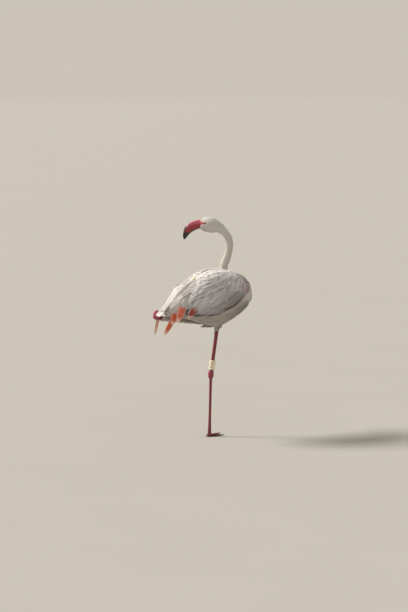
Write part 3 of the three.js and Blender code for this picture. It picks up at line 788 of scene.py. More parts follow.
def feather_piece(name, batches, finish, replaced=()):
    """A finished piece of plumage that rides on the bird."""
    piece = bpy.data.objects.new(name, feather_mesh(name, batches))
    piece.data.materials.append(finish)
    scene.collection.objects.link(piece)
    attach(piece, "root")
    if replaced:
        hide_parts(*replaced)
    triangles = sum(len(batch["points"]) * 2 * batch["ring"] * batch["rings"] for batch in batches)
    print(name, "feathers:", sum(len(batch["points"]) for batch in batches), "triangles:", triangles)


print("side of a feather on the map:", BAKE_PATCH)

# %% [markdown]
# ## Where the feathers grow
#
# Feathers stand in loose rows, never on top of each other. Points thrown at random would leave clumps and
# holes. A net laid over the skin would show as a pattern. The middle way is to throw many points and keep
# one only if no kept point is too near, which is called Poisson sampling. It gives an even, natural
# scatter. Each tract of the bird has its own spacing: under a millimetre on the face and nine on the back.

# %% Scatter roots over a stretch of skin
skin.data.calc_loop_triangles()
triangles = fetched(skin.data.loop_triangles, "vertices", 3, np.int32)
skin_corners = points_of(skin.data)[triangles]
first_side = skin_corners[:, 1] - skin_corners[:, 0]
second_side = skin_corners[:, 2] - skin_corners[:, 0]
triangle_area = np.linalg.norm(np.cross(first_side, second_side), axis=1) / 2
triangle_part = skin_parts[triangles[:, 0]]
triangle_middle = skin_corners.mean(axis=1)
NEIGHBOURS = list(itertools.product((-1, 0, 1), repeat=3))


def spaced_out(points, spacing):
    """Keeps points, first come first, so that none is nearer to a kept one than its own spacing."""
    cells = {}
    kept = []
    keys = np.floor(points / float(spacing.max())).astype(int).tolist()
    for i, (point, (x, y, z), gap) in enumerate(zip(points.tolist(), keys, spacing.tolist())):
        crowded = any(math.dist(point, other) < gap
                      for dx, dy, dz in NEIGHBOURS
                      for other in cells.get((x + dx, y + dy, z + dz), ()))
        if not crowded:
            cells.setdefault((x, y, z), []).append(point)
            kept.append(i)
    return kept


def scatter(chosen, spacing_at, tries=5.0):
    """Evenly scattered places on the chosen triangles of the skin."""
    numbers = np.flatnonzero(chosen)
    weight = triangle_area[numbers] / spacing_at(triangle_middle[numbers]) ** 2
    throws = int(tries * weight.sum())
    picked = chance.choice(numbers, throws, p=weight / weight.sum())
    a, b = chance.random((2, throws, 1))
    flip = a + b > 1
    a, b = np.where(flip, 1 - a, a), np.where(flip, 1 - b, b)
    points = skin_corners[picked, 0] + a * first_side[picked] + b * second_side[picked]
    return points[spaced_out(points, spacing_at(points))]


def evenly(gap):
    """A spacing that is the same all over."""
    return lambda points: np.full(len(points), gap)


print("skin, square metres:", round(float(triangle_area.sum()), 3))

# %% [markdown]
# ## The colours of the coat
#
# A flamingo that eats little pink food is nearly white: cream on the neck and cooler on the folded wings.
# The warm grey below, darkest under the breast, is painted shade, and so is a tan line in the groove between
# the wings. The colour could be painted on a map, but feathers and skin would each need one. A single rule
# that gives the colour of any place serves both, and each feather takes the colour of the place where it is
# rooted.

# %% Colours of the coat
BILL_ROOT = mm(56, 156, 974)
FORWARD = np.array((-0.8192, 0.5736, 0.0))
HEAD_LEFT = np.array((-0.5736, -0.8192, 0.0))
# The belly and under-breast tones and the tan of the groove are painted shade, darker where the body is
# shaded.
PAINTS = {"flank": "e6dfda", "belly": "b1a79d", "under_breast_shade": "70665e", "back": "f1eeec", "rump": "d5ccc6",
          "neck": "e0d9ce", "nape": "eae5de", "crown": "f3f0ec", "groove_shade": "a98d5c"}
COAT = {part: paint(code) for part, code in PAINTS.items()}
GROOVE_Y, GROOVE_REACH = mm(-10, 7)


def on_head(points):
    """How far forward of the bill's root, to the bird's left of it and above it each point is."""
    away = np.asarray(points) - BILL_ROOT
    return away @ FORWARD, away @ HEAD_LEFT, away[:, 2]


def blend(first, second, share):
    """Rows of colours, from the first to the second."""
    share = np.asarray(share, float)[:, None]
    return np.asarray(first) * (1 - share) + np.asarray(second) * share


def coat_colour(points):
    """The colour of the coat at each place, in linear values, with painted shade below and in the groove."""
    points = np.asarray(points)
    x, y = points[:, 0], points[:, 1]
    back = neck_places(points)[0]
    above = on_head(points)[2]
    height = body_height(points)
    # painted shade: a tan line along the groove between the wings
    groove_shade = np.exp(-((y - GROOVE_Y) / GROOVE_REACH) ** 2) * (back > 0.56) * (height > 0.75)
    tint = np.tile(COAT["flank"], (len(points), 1))
    # painted shade: warm grey below, and much darker low on the breast
    tint = blend(tint, COAT["belly"], 1 - ease(height, 0.15, 0.55))
    tint = blend(tint, COAT["under_breast_shade"], 0.85 * ease(x, 0.03, 0.18) * (1 - ease(height, 0.3, 0.62)))
    tint = blend(tint, COAT["back"], ease(height, 0.8, 0.95))
    tint = blend(tint, COAT["rump"], 1 - ease(x, -0.2, -0.12))
    tint = blend(tint, COAT["neck"], 1 - ease(back, 0.40, 0.52))
    tint = blend(tint, COAT["nape"], 1 - ease(back, 0.10, 0.18))
    tint = blend(tint, COAT["crown"], (1 - ease(back, 0.08, 0.12)) * ease(above, 0.01, 0.028))
    return blend(tint, COAT["groove_shade"], 0.7 * groove_shade * (x < 0.01) * (x > -0.15))


print("colour of the breast:", coat_colour(mm((210, 0, 640)))[0].round(2))

# %% [markdown]
# ## Grow a batch
#
# Now the steps come together: walk the middle lines, lift them off the skin towards the tip, draw the
# blades, and give each feather a tint from the coat and a shade of its own. Chance makes every length,
# width, lift and angle a little different. The roots are sunk into the skin, so that none shows.

# %% Grow a batch of feathers
BURIED = 0.4 * MM
BODY_MIDDLE_Z = 660 * MM
TAIL_END_X, BODY_LENGTH = mm(-270, 520)
MAP_MARGIN = 0.01


def bake_spots(points, low, high):
    """Where each root lies on an unwrap of the body: angle round its length, and place along it."""
    back, _, along_neck = neck_places(points)
    on_neck = back < high if high < 0.6 else np.zeros(len(points), bool)
    on_line = neck_line[np.abs(neck_back[None] - back[:, None]).argmin(axis=1)]
    level = np.ones(len(points))
    in_body = np.stack([points[:, 0], MIDDLE_Y * level, BODY_MIDDLE_Z * level], axis=1)
    away = points - np.where(on_neck[:, None], on_line, in_body)
    sideways = np.where(on_neck[:, None], np.cross(along_neck, UPWARD), np.array((0, 1.0, 0)))
    upward = np.where(on_neck[:, None], np.cross(sideways, along_neck), UPWARD)
    angle = np.arctan2((away * upward).sum(axis=1), (away * sideways).sum(axis=1)) / (2 * np.pi) + 0.5
    place = np.where(on_neck, (back - low) / (high - low), (points[:, 0] - TAIL_END_X) / BODY_LENGTH)
    return MAP_MARGIN + (1 - 2 * MAP_MARGIN) * np.clip(np.stack([angle, place], axis=1), 0, 1)


def grow(roots, length, width, lift, stations=8, columns=5, outline=rounded_outline, thick=0.1 * MM,
         camber=0.22, swing=7.0, ragged=0.0, way=lie, colour=coat_colour, span=(0.0, 0.6), roll=4.0):
    """Feathers on their roots. Length, width and lift may each be one number or one for every root."""
    count = len(roots)
    length = length * chance.uniform(0.86, 1.14, count)
    half_width = width / 2 * chance.uniform(0.88, 1.1, count)
    lines, ups = walk(roots, length, stations, np.radians(chance.normal(0, swing, count)), way)
    rise = lift * chance.uniform(0.75, 1.15, count)
    u = shares(stations)[:, None]
    lines = lines + ups * ((rise + BURIED) * u ** 0.8 - BURIED)[..., None]
    rolls = np.radians(chance.normal(0, roll, count))
    batch = blades(lines, ups, half_width, outline, thick, camber, columns, rolls, ragged)
    batch["tint"] = colour(roots)
    batch["shade"] = chance.random(count)
    batch["spot"] = bake_spots(roots, *span)
    return batch


print("a spot on the map:", bake_spots(mm((0, -100, 680)), 0.0, 0.6)[0].round(2))

# %% [markdown]
# ## The finish of the plumage
#
# A feather is not paint: hundreds of barbs run out from its shaft, and they catch the light like brushed
# cloth. Real barbs would be far too many faces. The blade already knows how far each of its points lies
# from the shaft, so a wave along that distance draws the barbs, both as a faint change of tone and as a
# fine ribbing of the surface. The tips are paler, where the barbs come apart.

# %% Plumage finish
def barb_lines(finish, spacing, grain):
    """A wave along the distance from the shaft, with a little wander and grain, that draws the barbs."""
    wander = finish.math("MULTIPLY", finish.noise(90, 2.0), 9.0)
    turns = finish.math("MULTIPLY_ADD", finish.attribute("barbs"), 2 * math.pi / spacing, wander)
    return finish.math("MULTIPLY_ADD", finish.math("SINE", turns), 0.35, finish.noise(grain, 4.0, 0.7))


def plumage(name, rough=0.7, tip=0.12, shadow=0.18, variety=0.24):
    """A finish for feathers. It reads what each blade knows about itself."""
    finish = Finish(name, Roughness=rough, Sheen_Weight=0.15, Sheen_Roughness=0.5, Subsurface_Weight=0.4,
                    Subsurface_Scale=3 * MM, Subsurface_Radius=(1.0, 0.9, 0.84))
    along, tint = finish.attribute("along"), finish.attribute("tint", "Color")
    own_shade = finish.span(finish.attribute("shade"), 0, 1, 0, variety)
    toned = finish.mix(own_shade, tint, paint("8d8078"), "MULTIPLY")
    rooted = finish.mix(finish.span(along, 0.0, 0.55, shadow, 0.0), toned, paint("9a8f88"))
    tipped = finish.mix(finish.span(along, 0.8, 1.0, 0.0, tip), rooted, paint("fbf8f4"))
    lines = barb_lines(finish, 1.3 * MM, 260)
    combed = finish.mix(finish.span(lines, 0.1, 1.0, 0.14, 0.0), tipped, paint("7d7169"))
    from_shaft = finish.math("ABSOLUTE", finish.attribute("across"))
    finished = finish.mix(finish.span(from_shaft, 0.0, 0.09, 0.25, 0.0), combed, paint("c9bdb2"))
    return finish.wear(Base_Color=finished, Normal=finish.bump(lines, 0.2 * MM, 0.4))


soft_plumage = plumage("soft_plumage")
print("finish:", soft_plumage.name)

# %% [markdown]
# ## Head and neck
#
# The face wears feathers so small that they look like plush: about three millimetres long. They get longer
# down the neck, evenly, until at the breast they are as long as a finger joint. One rule gives the length at
# any distance from the bill, and width, spacing and lift all follow from the length. The lore, between the
# eye and the bill, and a ring round the eye stay bare.

# %% Feathers of the head and neck
LENGTH_AT = mm(0, 20, 60, 90, 150, 260, 345, 450, 560)
LENGTH = mm(3.2, 4.6, 7, 8.5, 11, 15, 20, 28, 32)
EYE_FORWARD, EYE_ABOVE, EYE_OUT, EYE_RADIUS = mm(-24, 6, 15.6, 7.2)
LORE_ABOVE, LORE_SLOPE = 5 * MM, 0.30


def neck_length(points):
    """How long the feathers are at each place of the head and neck."""
    return between(neck_places(points)[0], LENGTH_AT, LENGTH)


def neck_spacing(points):
    """How far apart they stand."""
    return 0.26 * neck_length(points)


def plush(name, chosen, width, lift, **manner):
    """One stretch of head or neck. Width is a share of the length, and lift a share and a height."""
    roots = scatter(chosen, neck_spacing)
    length = neck_length(roots)
    batch = grow(roots, length, width * length, lift[0] * length + lift[1], **manner)
    feather_piece(name, [batch], soft_plumage)


forward, _, above = on_head(triangle_middle)
eye_gap = np.hypot(forward - EYE_FORWARD, above - EYE_ABOVE)
off_lore = np.abs(above - LORE_ABOVE)
lore = (forward > -0.018) & (off_lore < 0.0034 + LORE_SLOPE * (forward + 0.018))
face = is_part(triangle_part, "head") & (eye_gap > 0.0056) & (forward < -0.0015) & ~lore
lower_neck = is_part(triangle_part, "neck_lower")
plush("head_feathers", face, 0.5, (0.12, 0.9 * MM),
      stations=5, columns=3, thick=0.07 * MM, swing=10, span=(0.0, 0.1))
plush("upper_neck_feathers", is_part(triangle_part, "neck_upper", "neck_middle"), 0.5, (0.05, 1.4 * MM),
      stations=6, columns=3, thick=0.08 * MM, swing=9, span=(0.08, 0.36))
plush("lower_neck_feathers", lower_neck, 0.52, (0.05, 2.8 * MM), stations=7, swing=8, span=(0.33, 0.58))

# %% [markdown]
# ## Body
#
# Breast, belly, flanks and back carry contour feathers, which are broad and round. They are the largest of
# the soft feathers, and they smooth the whole body. They are laid in three pieces, so that no single mesh
# grows too heavy. Where the feathers of the neck and the breast part, a collar of short ones stands closer.

# %% Feathers of the body
trunk_skin = is_part(triangle_part, "trunk")
along_body = triangle_middle[:, 0]
high_up = body_height(triangle_middle) >= 0.55
in_front = along_body >= 0.1
BODY_KNOTS = mm(-260, -150, 0, 220)


def body_spacing(points):
    """How far apart the contour feathers stand: closest on the breast."""
    return between(points[:, 0], BODY_KNOTS, mm(8, 9, 9, 7))


def contour_batch(chosen):
    """Contour feathers on a stretch of the trunk, shorter towards the breast."""
    roots = scatter(chosen, body_spacing)
    length = between(roots[:, 0], BODY_KNOTS, mm(54, 50, 40, 30))
    return grow(roots, length, 0.6 * length, 3.0 * MM, ragged=0.1, swing=5)


breast_batch = contour_batch(trunk_skin & in_front)
collar_skin = (trunk_skin | lower_neck) & (along_body > 0.15) & (triangle_middle[:, 2] > 0.6)
collar_roots = scatter(collar_skin, evenly(4.2 * MM))
collar_batch = grow(collar_roots, 22 * MM, 14 * MM, 2.4 * MM, stations=6, swing=5)
feather_piece("breast_feathers", [breast_batch, collar_batch], soft_plumage)
feather_piece("belly_feathers", [contour_batch(trunk_skin & ~in_front & ~high_up)], soft_plumage)
feather_piece("back_feathers", [contour_batch(trunk_skin & ~in_front & high_up)], soft_plumage)

# %% [markdown]
# ## Thigh and the leg that is drawn up
#
# Feathers on the thigh are short and point down the leg. The other leg is folded into the feathers of the
# belly, so the hidden part of it wears some too. They point back along it, or they would stick out.

# %% Feathers of the thigh and of the folded leg
thigh_roots = scatter(is_part(triangle_part, "thigh"), evenly(3.4 * MM))
folded_leg = is_part(triangle_part, "shank_left", "tarsus_left") & (along_body > -0.2)
folded_roots = scatter(folded_leg, evenly(8 * MM))
tucked_roots = scatter(is_part(triangle_part, "foot_left"), evenly(6 * MM))


def along_folded_leg(points):
    """Feathers over the leg that is drawn up point back along it."""
    return np.tile(unit(np.array((-1, -0.05, -0.15))), (len(points), 1))


leg_batches = [grow(thigh_roots, 15 * MM, 7 * MM, 2 * MM, stations=6, ragged=0.1),
               grow(folded_roots, 42 * MM, 22 * MM, 5 * MM, ragged=0.05, way=along_folded_leg, swing=4),
               grow(tucked_roots, 20 * MM, 12 * MM, 2 * MM, ragged=0.05, way=along_folded_leg, swing=4)]
feather_piece("thigh_feathers", leg_batches, soft_plumage)

# %% [markdown]
# ## Folded wings
#
# A closed wing is a stack of tiles. Short coverts cover the shoulder, longer ones the middle, and all of
# them end on the lower edge of the wing, where the dark flight feathers look out from below. The wing is
# white above, with soft cool bands that run with the feathers, and a few red feathers stand at the wrist.
# Its front and lower part turn browner and darker: that is painted shade.

# %% Colours of the wing
BAND_PERIODS = mm(31, 19, 12)
BAND_STARTS = chance.uniform(0, 6.28, 3)
wing_plumage = plumage("wing_plumage", tip=0.08, shadow=0.06, variety=0.12)


def wing_tone(points):
    """Cool white above, browner in front and below as painted shade, in soft bands that run with the
    feathers.
    """
    points = np.asarray(points)
    x, z = points[:, 0], points[:, 2]
    tint = np.tile(paint("e0dbde"), (len(points), 1))
    tint = blend(tint, paint("f1eff0"), ease(z, 0.735, 0.765))
    # painted shade: the lower front, then the whole lower edge, darkened to brown-grey
    tint = blend(tint, paint("4a433f"), 0.9 * ease(x, -0.12, 0.1) * (1 - ease(z, 0.61, 0.76)))
    tint = blend(tint, paint("8f857d"), 0.6 * (1 - ease(z, 0.585, 0.65)))
    lane = 0.82 * x - 0.57 * z
    bands = sum(np.sin(2 * np.pi * lane / period + start)
                for period, start in zip(BAND_PERIODS, BAND_STARTS))
    return blend(tint, paint("857f86"), 0.6 * ease(bands / 3, 0.05, 0.7))


def wing_colour(points):
    """The tone of the wing, with red feathers among the others at the wrist."""
    points = np.asarray(points)
    x, z = points[:, 0], points[:, 2]
    wrist = (x > 0.135) & (z > 0.66) & (z < 0.728) & (chance.random(len(points)) < 0.4)
    return blend(wing_tone(points), paint("a8424a"), wrist * chance.uniform(0.3, 0.9, len(points)))


print("tone of the shoulder:", wing_tone(mm((100, -100, 740)))[0].round(2))

# %% [markdown]
# A covert may not pass the lower edge of the wing or the edge where the wing ends behind. So each one is
# grown only as long as the room that is left in front of it, and where there is hardly any, none grows.

# %% Coverts of the folded wings
WING_BOTTOM_X = mm(-175, -150, -100, -13, 38, 107, 160, 192)
WING_BOTTOM_Z = mm(600, 590, 581, 583, 605, 640, 668, 700)
CURTAIN_Z = mm(560, 596, 634, 654, 683, 694, 711, 735, 776)
CURTAIN_X = mm(-150, -163, -173, -168, -155, -147, -130, -125, -18)
SHORTEST_COVERT = 14 * MM
ROOM_STEPS = 25


def room_left(roots, longest):
    """How far a feather can reach from each root before it passes the wing's lower or rear edge."""
    steps = np.linspace(0, 1, ROOM_STEPS)
    reached = roots[None] + lie(roots)[None] * (steps[:, None] * longest[None])[..., None]
    outside = reached[..., 2] < between(reached[..., 0], WING_BOTTOM_X, WING_BOTTOM_Z)
    outside |= reached[..., 0] < between(reached[..., 2], CURTAIN_Z, CURTAIN_X)
    first = np.where(outside.any(axis=0), outside.argmax(axis=0), ROOM_STEPS - 1)
    return steps[first] * longest


def covert_spacing(points):
    """Coverts stand closer towards the wrist."""
    return between(points[:, 0], mm(-170, 0, 170), mm(9, 8.5, 5.5))


wing_skin = is_part(triangle_part, "wing")
for side, sign in SIDES:
    chosen = wing_skin & (np.sign(triangle_middle[:, 1] - MIDDLE_Y) == sign)
    roots = scatter(chosen, covert_spacing)
    length = room_left(roots, between(roots[:, 0], mm(-170, -60, 60, 130, 190), mm(80, 80, 66, 38, 20)))
    roots, length = roots[length > SHORTEST_COVERT], length[length > SHORTEST_COVERT]
    width = between(roots[:, 0], mm(-170, 0, 130, 190), mm(16, 15, 12, 9))
    lift = 1.8 * MM + 3.4 * MM * ease(roots[:, 0], 0.12, 0.18)
    batch = grow(roots, length, width, lift, stations=10, ragged=0.06, swing=3, colour=wing_colour)
    feather_piece("coverts_" + side, [batch], wing_plumage)

# %% [markdown]
# ## Plumes that follow a drawn path
#
# The long plumes of the shoulder don't simply follow the skin: they hang in an order of their own. It is
# easiest to draw a few of their paths on the side of the bird, as places along it and heights, and to fill
# in the rest between them. A level ray from the side then lays each path on the skin. Where the ray misses,
# the nearest skin is taken, and no step may go in or out much more than it goes along, or a plume would
# dive into a hollow.

# %% Lay drawn paths on the side of the bird
STEEPEST = 0.9
LEAP, LEAP_SLACK = 3, 3 * MM
ABOVE_WING = 700 * MM
RAY_FROM, NEAR_MIDDLE = 400 * MM, 20 * MM


def side_hit(x, y, z, sign):
    """Where a level ray from the side meets the skin, or else the nearest place on it, and its facing."""
    hit, facing, _, _ = skin_tree.ray_cast(Vector((x, sign * RAY_FROM, z)), Vector((0, -sign, 0)))
    if hit is None or hit.y * sign < 0:
        hit, facing, _, _ = skin_tree.find_nearest(Vector((x, y, z)))
        if z > ABOVE_WING:
            x, z = hit.x, hit.z
    return x, hit.y, z, facing


def laid_on_side(path, sign):
    """One drawn path laid on the skin: its places, and which way the skin faces there."""
    places, facings = [], []
    y, facing = sign * NEAR_MIDDLE, None
    for i, (x, z) in enumerate(path):
        x, found, z, facing_here = side_hit(x, y, z, sign)
        if i == 0:
            y, facing = found, facing_here
        else:
            room = STEEPEST * np.linalg.norm(path[i] - path[i - 1])
            if abs(found - y) < LEAP * room + LEAP_SLACK:
                y, facing = y + np.clip(found - y, -room, room), facing_here
        places.append((x, y, z))
        facings.append(facing)
    return np.array(places), np.array(facings)


def side_lines(knots, sign, stations):
    """Smooth lines from drawn paths. Knots go by feather, then x and z."""
    count, each = knots.shape[:2]
    by_knot = knots.transpose(1, 0, 2).reshape(each, -1)
    flat = smooth_line(by_knot, shares(stations)).reshape(stations, count, 2)
    laid = [laid_on_side(flat[:, j], sign) for j in range(count)]
    line, ups = (np.stack(part, axis=1) for part in zip(*laid))
    for _ in range(6):
        line[1:-1] = (line[:-2] + line[1:-1] + line[2:]) / 3
        ups[1:-1] = (ups[:-2] + ups[1:-1] + ups[2:]) / 3
    return line, unit(ups + 0.1 * UPWARD)


def through(rows, count, stray):
    """Paths along several drawn ones in turn, each with a little stray. Rows go by path, then knot."""
    rows = MM * np.array(rows, float)
    paths = smooth_line(rows.reshape(len(rows), -1), count).reshape(count, -1, 2)
    return paths + chance.normal(0, stray, paths.shape)


def plumes(line, ups, width, low, high, tint, outline=pointed_outline, columns=7, camber=0.25,
           thick=0.15 * MM, ragged=0.08, roll=5.0):
    """Blades along given middle lines, lifted from low at the root to high at the tip."""
    stations, count = line.shape[:2]
    u = shares(stations)[:, None]
    lifted = line + ups * (low + (high - low) * u ** 0.7)[..., None]
    half_width = width / 2 * chance.uniform(0.92, 1.08, count)
    rolls = np.radians(chance.normal(0, roll, count))
    batch = blades(lifted, ups, half_width, outline, thick, camber, columns, rolls, ragged)
    if np.ndim(tint) == 3:
        inner = np.repeat(np.arange(1, stations - 1), batch["ring"])
        batch["tint"] = tint[np.concatenate([[0], inner, [stations - 1]])].transpose(1, 0, 2)
    else:
        batch["tint"] = np.broadcast_to(tint, (count, 3))
    batch["shade"] = chance.random(count)
    batch["spot"] = bake_spots(line[0], 0.0, 0.6)
    return batch


shoulder = laid_on_side(mm((100, 770), (40, 770)), -1)[0]
print("shoulder at, mm:", (1000 * shoulder[0]).round())

# %% [markdown]
# ## Scapulars
#
# Over the coverts hang the scapulars, long narrow plumes that start at the top of the shoulder and sweep
# down and back, in three layers. The lowest is a curtain at the end of the wing. Neighbours are tinted in
# slow waves, which gives the streaks. Last come a few ruffled ones that stand off above the tail.

# %% Scapulars
SCAPULAR_ROWS = (
    ((100, 770), (40, 770), (-30, 762)),
    ((108, 766), (40, 758), (-84, 728)),
    ((118, 760), (50, 740), (-130, 680)),
    ((126, 752), (60, 716), (-150, 644)),
    ((134, 744), (72, 696), (-120, 618)),
    ((142, 734), (86, 680), (-70, 604)),
    ((150, 720), (100, 670), (0, 606)),
    ((158, 704), (116, 664), (40, 620)),
)
SECOND_ROWS = (
    ((30, 776), (-20, 770), (-70, 750)),
    ((40, 772), (-20, 762), (-122, 728)),
    ((50, 766), (-10, 744), (-145, 690)),
    ((60, 758), (0, 716), (-170, 634)),
    ((74, 750), (20, 692), (-160, 600)),
    ((90, 738), (46, 670), (-100, 586)),
    ((106, 724), (70, 664), (-40, 590)),
)
RUFFLED_ROWS = (
    ((-96, 736), (-128, 722), (-160, 706)),
    ((-108, 728), (-142, 712), (-176, 694)),
    ((-122, 716), (-152, 698), (-182, 676)),
    ((-128, 704), (-156, 684), (-184, 658)),
)
CURTAIN_ROWS = (
    ((-20, 768), (-60, 752), (-120, 722)),
    ((-20, 756), (-76, 726), (-146, 688)),
    ((-30, 738), (-100, 696), (-166, 648)),
    ((-40, 716), (-112, 668), (-172, 618)),
    ((-40, 696), (-110, 646), (-166, 592)),
    ((-30, 676), (-96, 626), (-140, 584)),
)
LAYERS = ((CURTAIN_ROWS, 22, 21 * MM, 4.5 * MM), (SECOND_ROWS, 34, 21 * MM, 4 * MM),
          (SCAPULAR_ROWS, 44, 20 * MM, 6 * MM))
STATIONS, RUFFLED_STATIONS, RUFFLED_COUNT = 16, 14, 11


def streaked(line):
    """The tone of the wing along each plume, with some neighbours cooler and darker than others."""
    stations, count = line.shape[:2]
    order = np.arange(count)
    streak = np.sin(0.93 * order + chance.uniform(0, 6)) + np.sin(0.41 * order + chance.uniform(0, 6))
    shaded = 0.75 * ease(streak, 0.3, 1.5) * chance.uniform(0.7, 1.0, count)
    tint = blend(wing_tone(line.reshape(-1, 3)), paint("7f7b84"), np.tile(shaded, stations))
    return tint.reshape(stations, count, 3)


for side, sign in SIDES:
    batches = []
    for rows, count, width, high in LAYERS:
        line, ups = side_lines(through(rows, count, 3 * MM), sign, STATIONS)
        batches.append(plumes(line, ups, width, 0.45 * high, high, streaked(line), roll=3))
    line, ups = side_lines(through(RUFFLED_ROWS, RUFFLED_COUNT, 3 * MM), sign, RUFFLED_STATIONS)
    pale = np.tile(paint("cfcac6"), (RUFFLED_COUNT, 1))
    tint = blend(pale, paint("98948f"), chance.random(RUFFLED_COUNT))
    batches.append(plumes(line, ups, 21 * MM, 1 * MM, 7 * MM, tint, outline=rounded_outline, roll=12))
    feather_piece("scapulars_" + side, batches, wing_plumage)

# %% [markdown]
# ## Coral
#
# The colour that flamingos are known for is mostly hidden on a resting bird. It shows where the last inner
# feathers of the wing hang past the tail: coral, each with a pale, rounded tip. They are few and large, so
# each has a path of its own. Four follow the solids that they stand for, and two narrower ones fill the
# gaps. On the far side they hang a little higher and further forward, and the longest has its own path.

# %% Coral feathers
def coral_plumage():
    """Coral along the middle, greyer towards the root, and a pale fringe round the tip."""
    finish = Finish("coral_plumage", Roughness=0.62)
    along, across = finish.attribute("along"), finish.attribute("across")
    lines = barb_lines(finish, 1.4 * MM, 220)
    edge = finish.math("POWER", finish.math("ABSOLUTE", across), 4.0)
    fringe = finish.math("MAXIMUM", finish.span(along, 0.86, 0.99), finish.math("MULTIPLY", edge, 0.55))
    rooted = finish.span(along, 0.7, 0.46, 0.0, 0.85)
    body = finish.mix(rooted, finish.attribute("tint", "Color"), paint("c3b2ac"))
    pale = finish.mix(fringe, body, paint("efd6c8"))
    combed = finish.mix(finish.span(lines, 0.1, 1.1, 0.22, 0.0), pale, paint("7a2f22"))
    return finish.wear(Base_Color=combed, Normal=finish.bump(lines, 0.3 * MM, 0.5))


coral = coral_plumage()
# painted shade: paths 1 and 1b are tinted a deep red, red feathers darkened where they hang in shade
CORAL_PATHS = (
    ("1", ((-100, -70, 660), (-138, -84, 624), (-176, -84, 572)), 24, "8a2a24"),
    ("1b", ((-96, -70, 650), (-128, -86, 616), (-166, -86, 577)), 20, "7a241f"),
    ("2", ((-120, -58, 690), (-174, -60, 638), (-219, -60, 556)), 36, "cf6543"),
    ("2b", ((-120, -56, 700), (-180, -54, 648), (-217, -56, 572)), 24, "d97b5c"),
    ("3", ((-150, -40, 676), (-204, -38, 612), (-237, -42, 545)), 34, "cc5b3a"),
    ("4", ((-150, -40, 660), (-212, -38, 585), (-277, -40, 500)), 25, "c9522f"),
)
FAR_TIP = ("4", ((-130, -44, 650), (-222, -70, 600), (-255, -79, 487)), 24, "e6b8a2")
LEFT_SHIFT = {"2": (26, 28), "2b": (26, 28), "3": (28, 28), "4": (0, 0)}
OTHER_SHIFT = (18, 14)
CORAL_STATIONS = 22


def coral_batch(side, sign, name, knots, width, colour):
    """One coral feather, whose path is drawn for the right side and mirrored for the left."""
    line = smooth_line(MM * np.array(knots, float), shares(CORAL_STATIONS))[:, None]
    if side == "left":
        onward, upward = LEFT_SHIFT.get(name, OTHER_SHIFT)
        line[..., 0] += onward * MM
        line[..., 1] = 2 * MIDDLE_Y - line[..., 1]
        line[..., 2] += upward * MM
    ups = np.tile(unit(np.array((-0.25, sign, 0.3))), (CORAL_STATIONS, 1, 1))
    return plumes(line, ups, width * MM, 0, 0, paint(colour), outline=strap_outline, columns=9,
                  camber=0.14, thick=0.3 * MM, ragged=0.05, roll=1.0)


for side, sign in SIDES:
    paths = [FAR_TIP if side == "left" and path[0] == "4" else path for path in CORAL_PATHS]
    batches = [coral_batch(side, sign, *path) for path in paths]
    replaced = [name for name in nodes if name.startswith("tertial_" + side)]
    feather_piece("coral_feathers_" + side, batches, coral, replaced)

# %% [markdown]
# ## Flight feathers
#
# The flight feathers proper are black. On a resting bird they only peep out along the wing's lower edge.
# In front of them a little dark red shows, tinted dark red-brown as painted shade on red feathers. Two rows
# of straps, laid on the side like the scapulars, show that edge.

# %% Flight feathers
DARK_ROWS = (
    ((60, 640), (-20, 602), (-110, 574)),
    ((30, 650), (-60, 606), (-150, 576)),
    ((0, 660), (-90, 616), (-172, 588)),
    ((-30, 670), (-110, 630), (-180, 600)),
)
FRONT_DARK_ROWS = (
    ((150, 680), (100, 640), (40, 601)),
    ((120, 664), (60, 618), (-20, 580)),
    ((90, 650), (20, 604), (-70, 574)),
)
dark_plumage = plumage("dark_plumage", rough=0.5, tip=0.05, shadow=0.0)
for side, sign in SIDES:
    batches = []
    # painted shade: the front rows are red feathers darkened to red-brown
    for rows, count, tint in ((FRONT_DARK_ROWS, 7, "4c2824"), (DARK_ROWS, 9, "26201f")):
        line, ups = side_lines(through(rows, count, 1 * MM), sign, 14)
        batches.append(plumes(line, ups, 16 * MM, 1.5 * MM, 3 * MM, paint(tint), outline=strap_outline))
    feather_piece("flight_feathers_" + side, batches, dark_plumage)

# %% [markdown]
# ## Tail
#
# The tail is short and soft: twelve straight feathers, shut like a fan, with shorter coverts laid round
# them. It slopes down between the wing tips, and the coverts carry the line of the back smoothly to its
# end. All of them stand on arcs round one axis. The layers differ in where they begin and end, how wide the
# arc is and how high it stands.

# %% Tail feathers
TAIL_ROOT = mm(-190, 2, 672)
TAIL_WAY = unit(np.array((-0.72, 0.02, -0.69)))
TAIL_TOP = unit(np.array((-0.69, 0, 0.72)))
TAIL_SIDE = np.array((0.0, 1.0, 0.0))
TAIL_STATIONS = 12
TAIL_LAYERS = (
    (12, (0, 128, 8, 20, 17, 1), "d9d2cc", strap_outline),
    (21, (-20, 104, 26, 21, 14, 9), "cfc9c4", pointed_outline),
    (21, (-40, 78, 30, 24, 15, 13), "d4cfcb", pointed_outline),
    (19, (-66, 50, 36, 28, 17, 18), "dad5d2", rounded_outline),
    (17, (-30, 86, 24, 18, 15, -9), "d6cec6", rounded_outline),
)


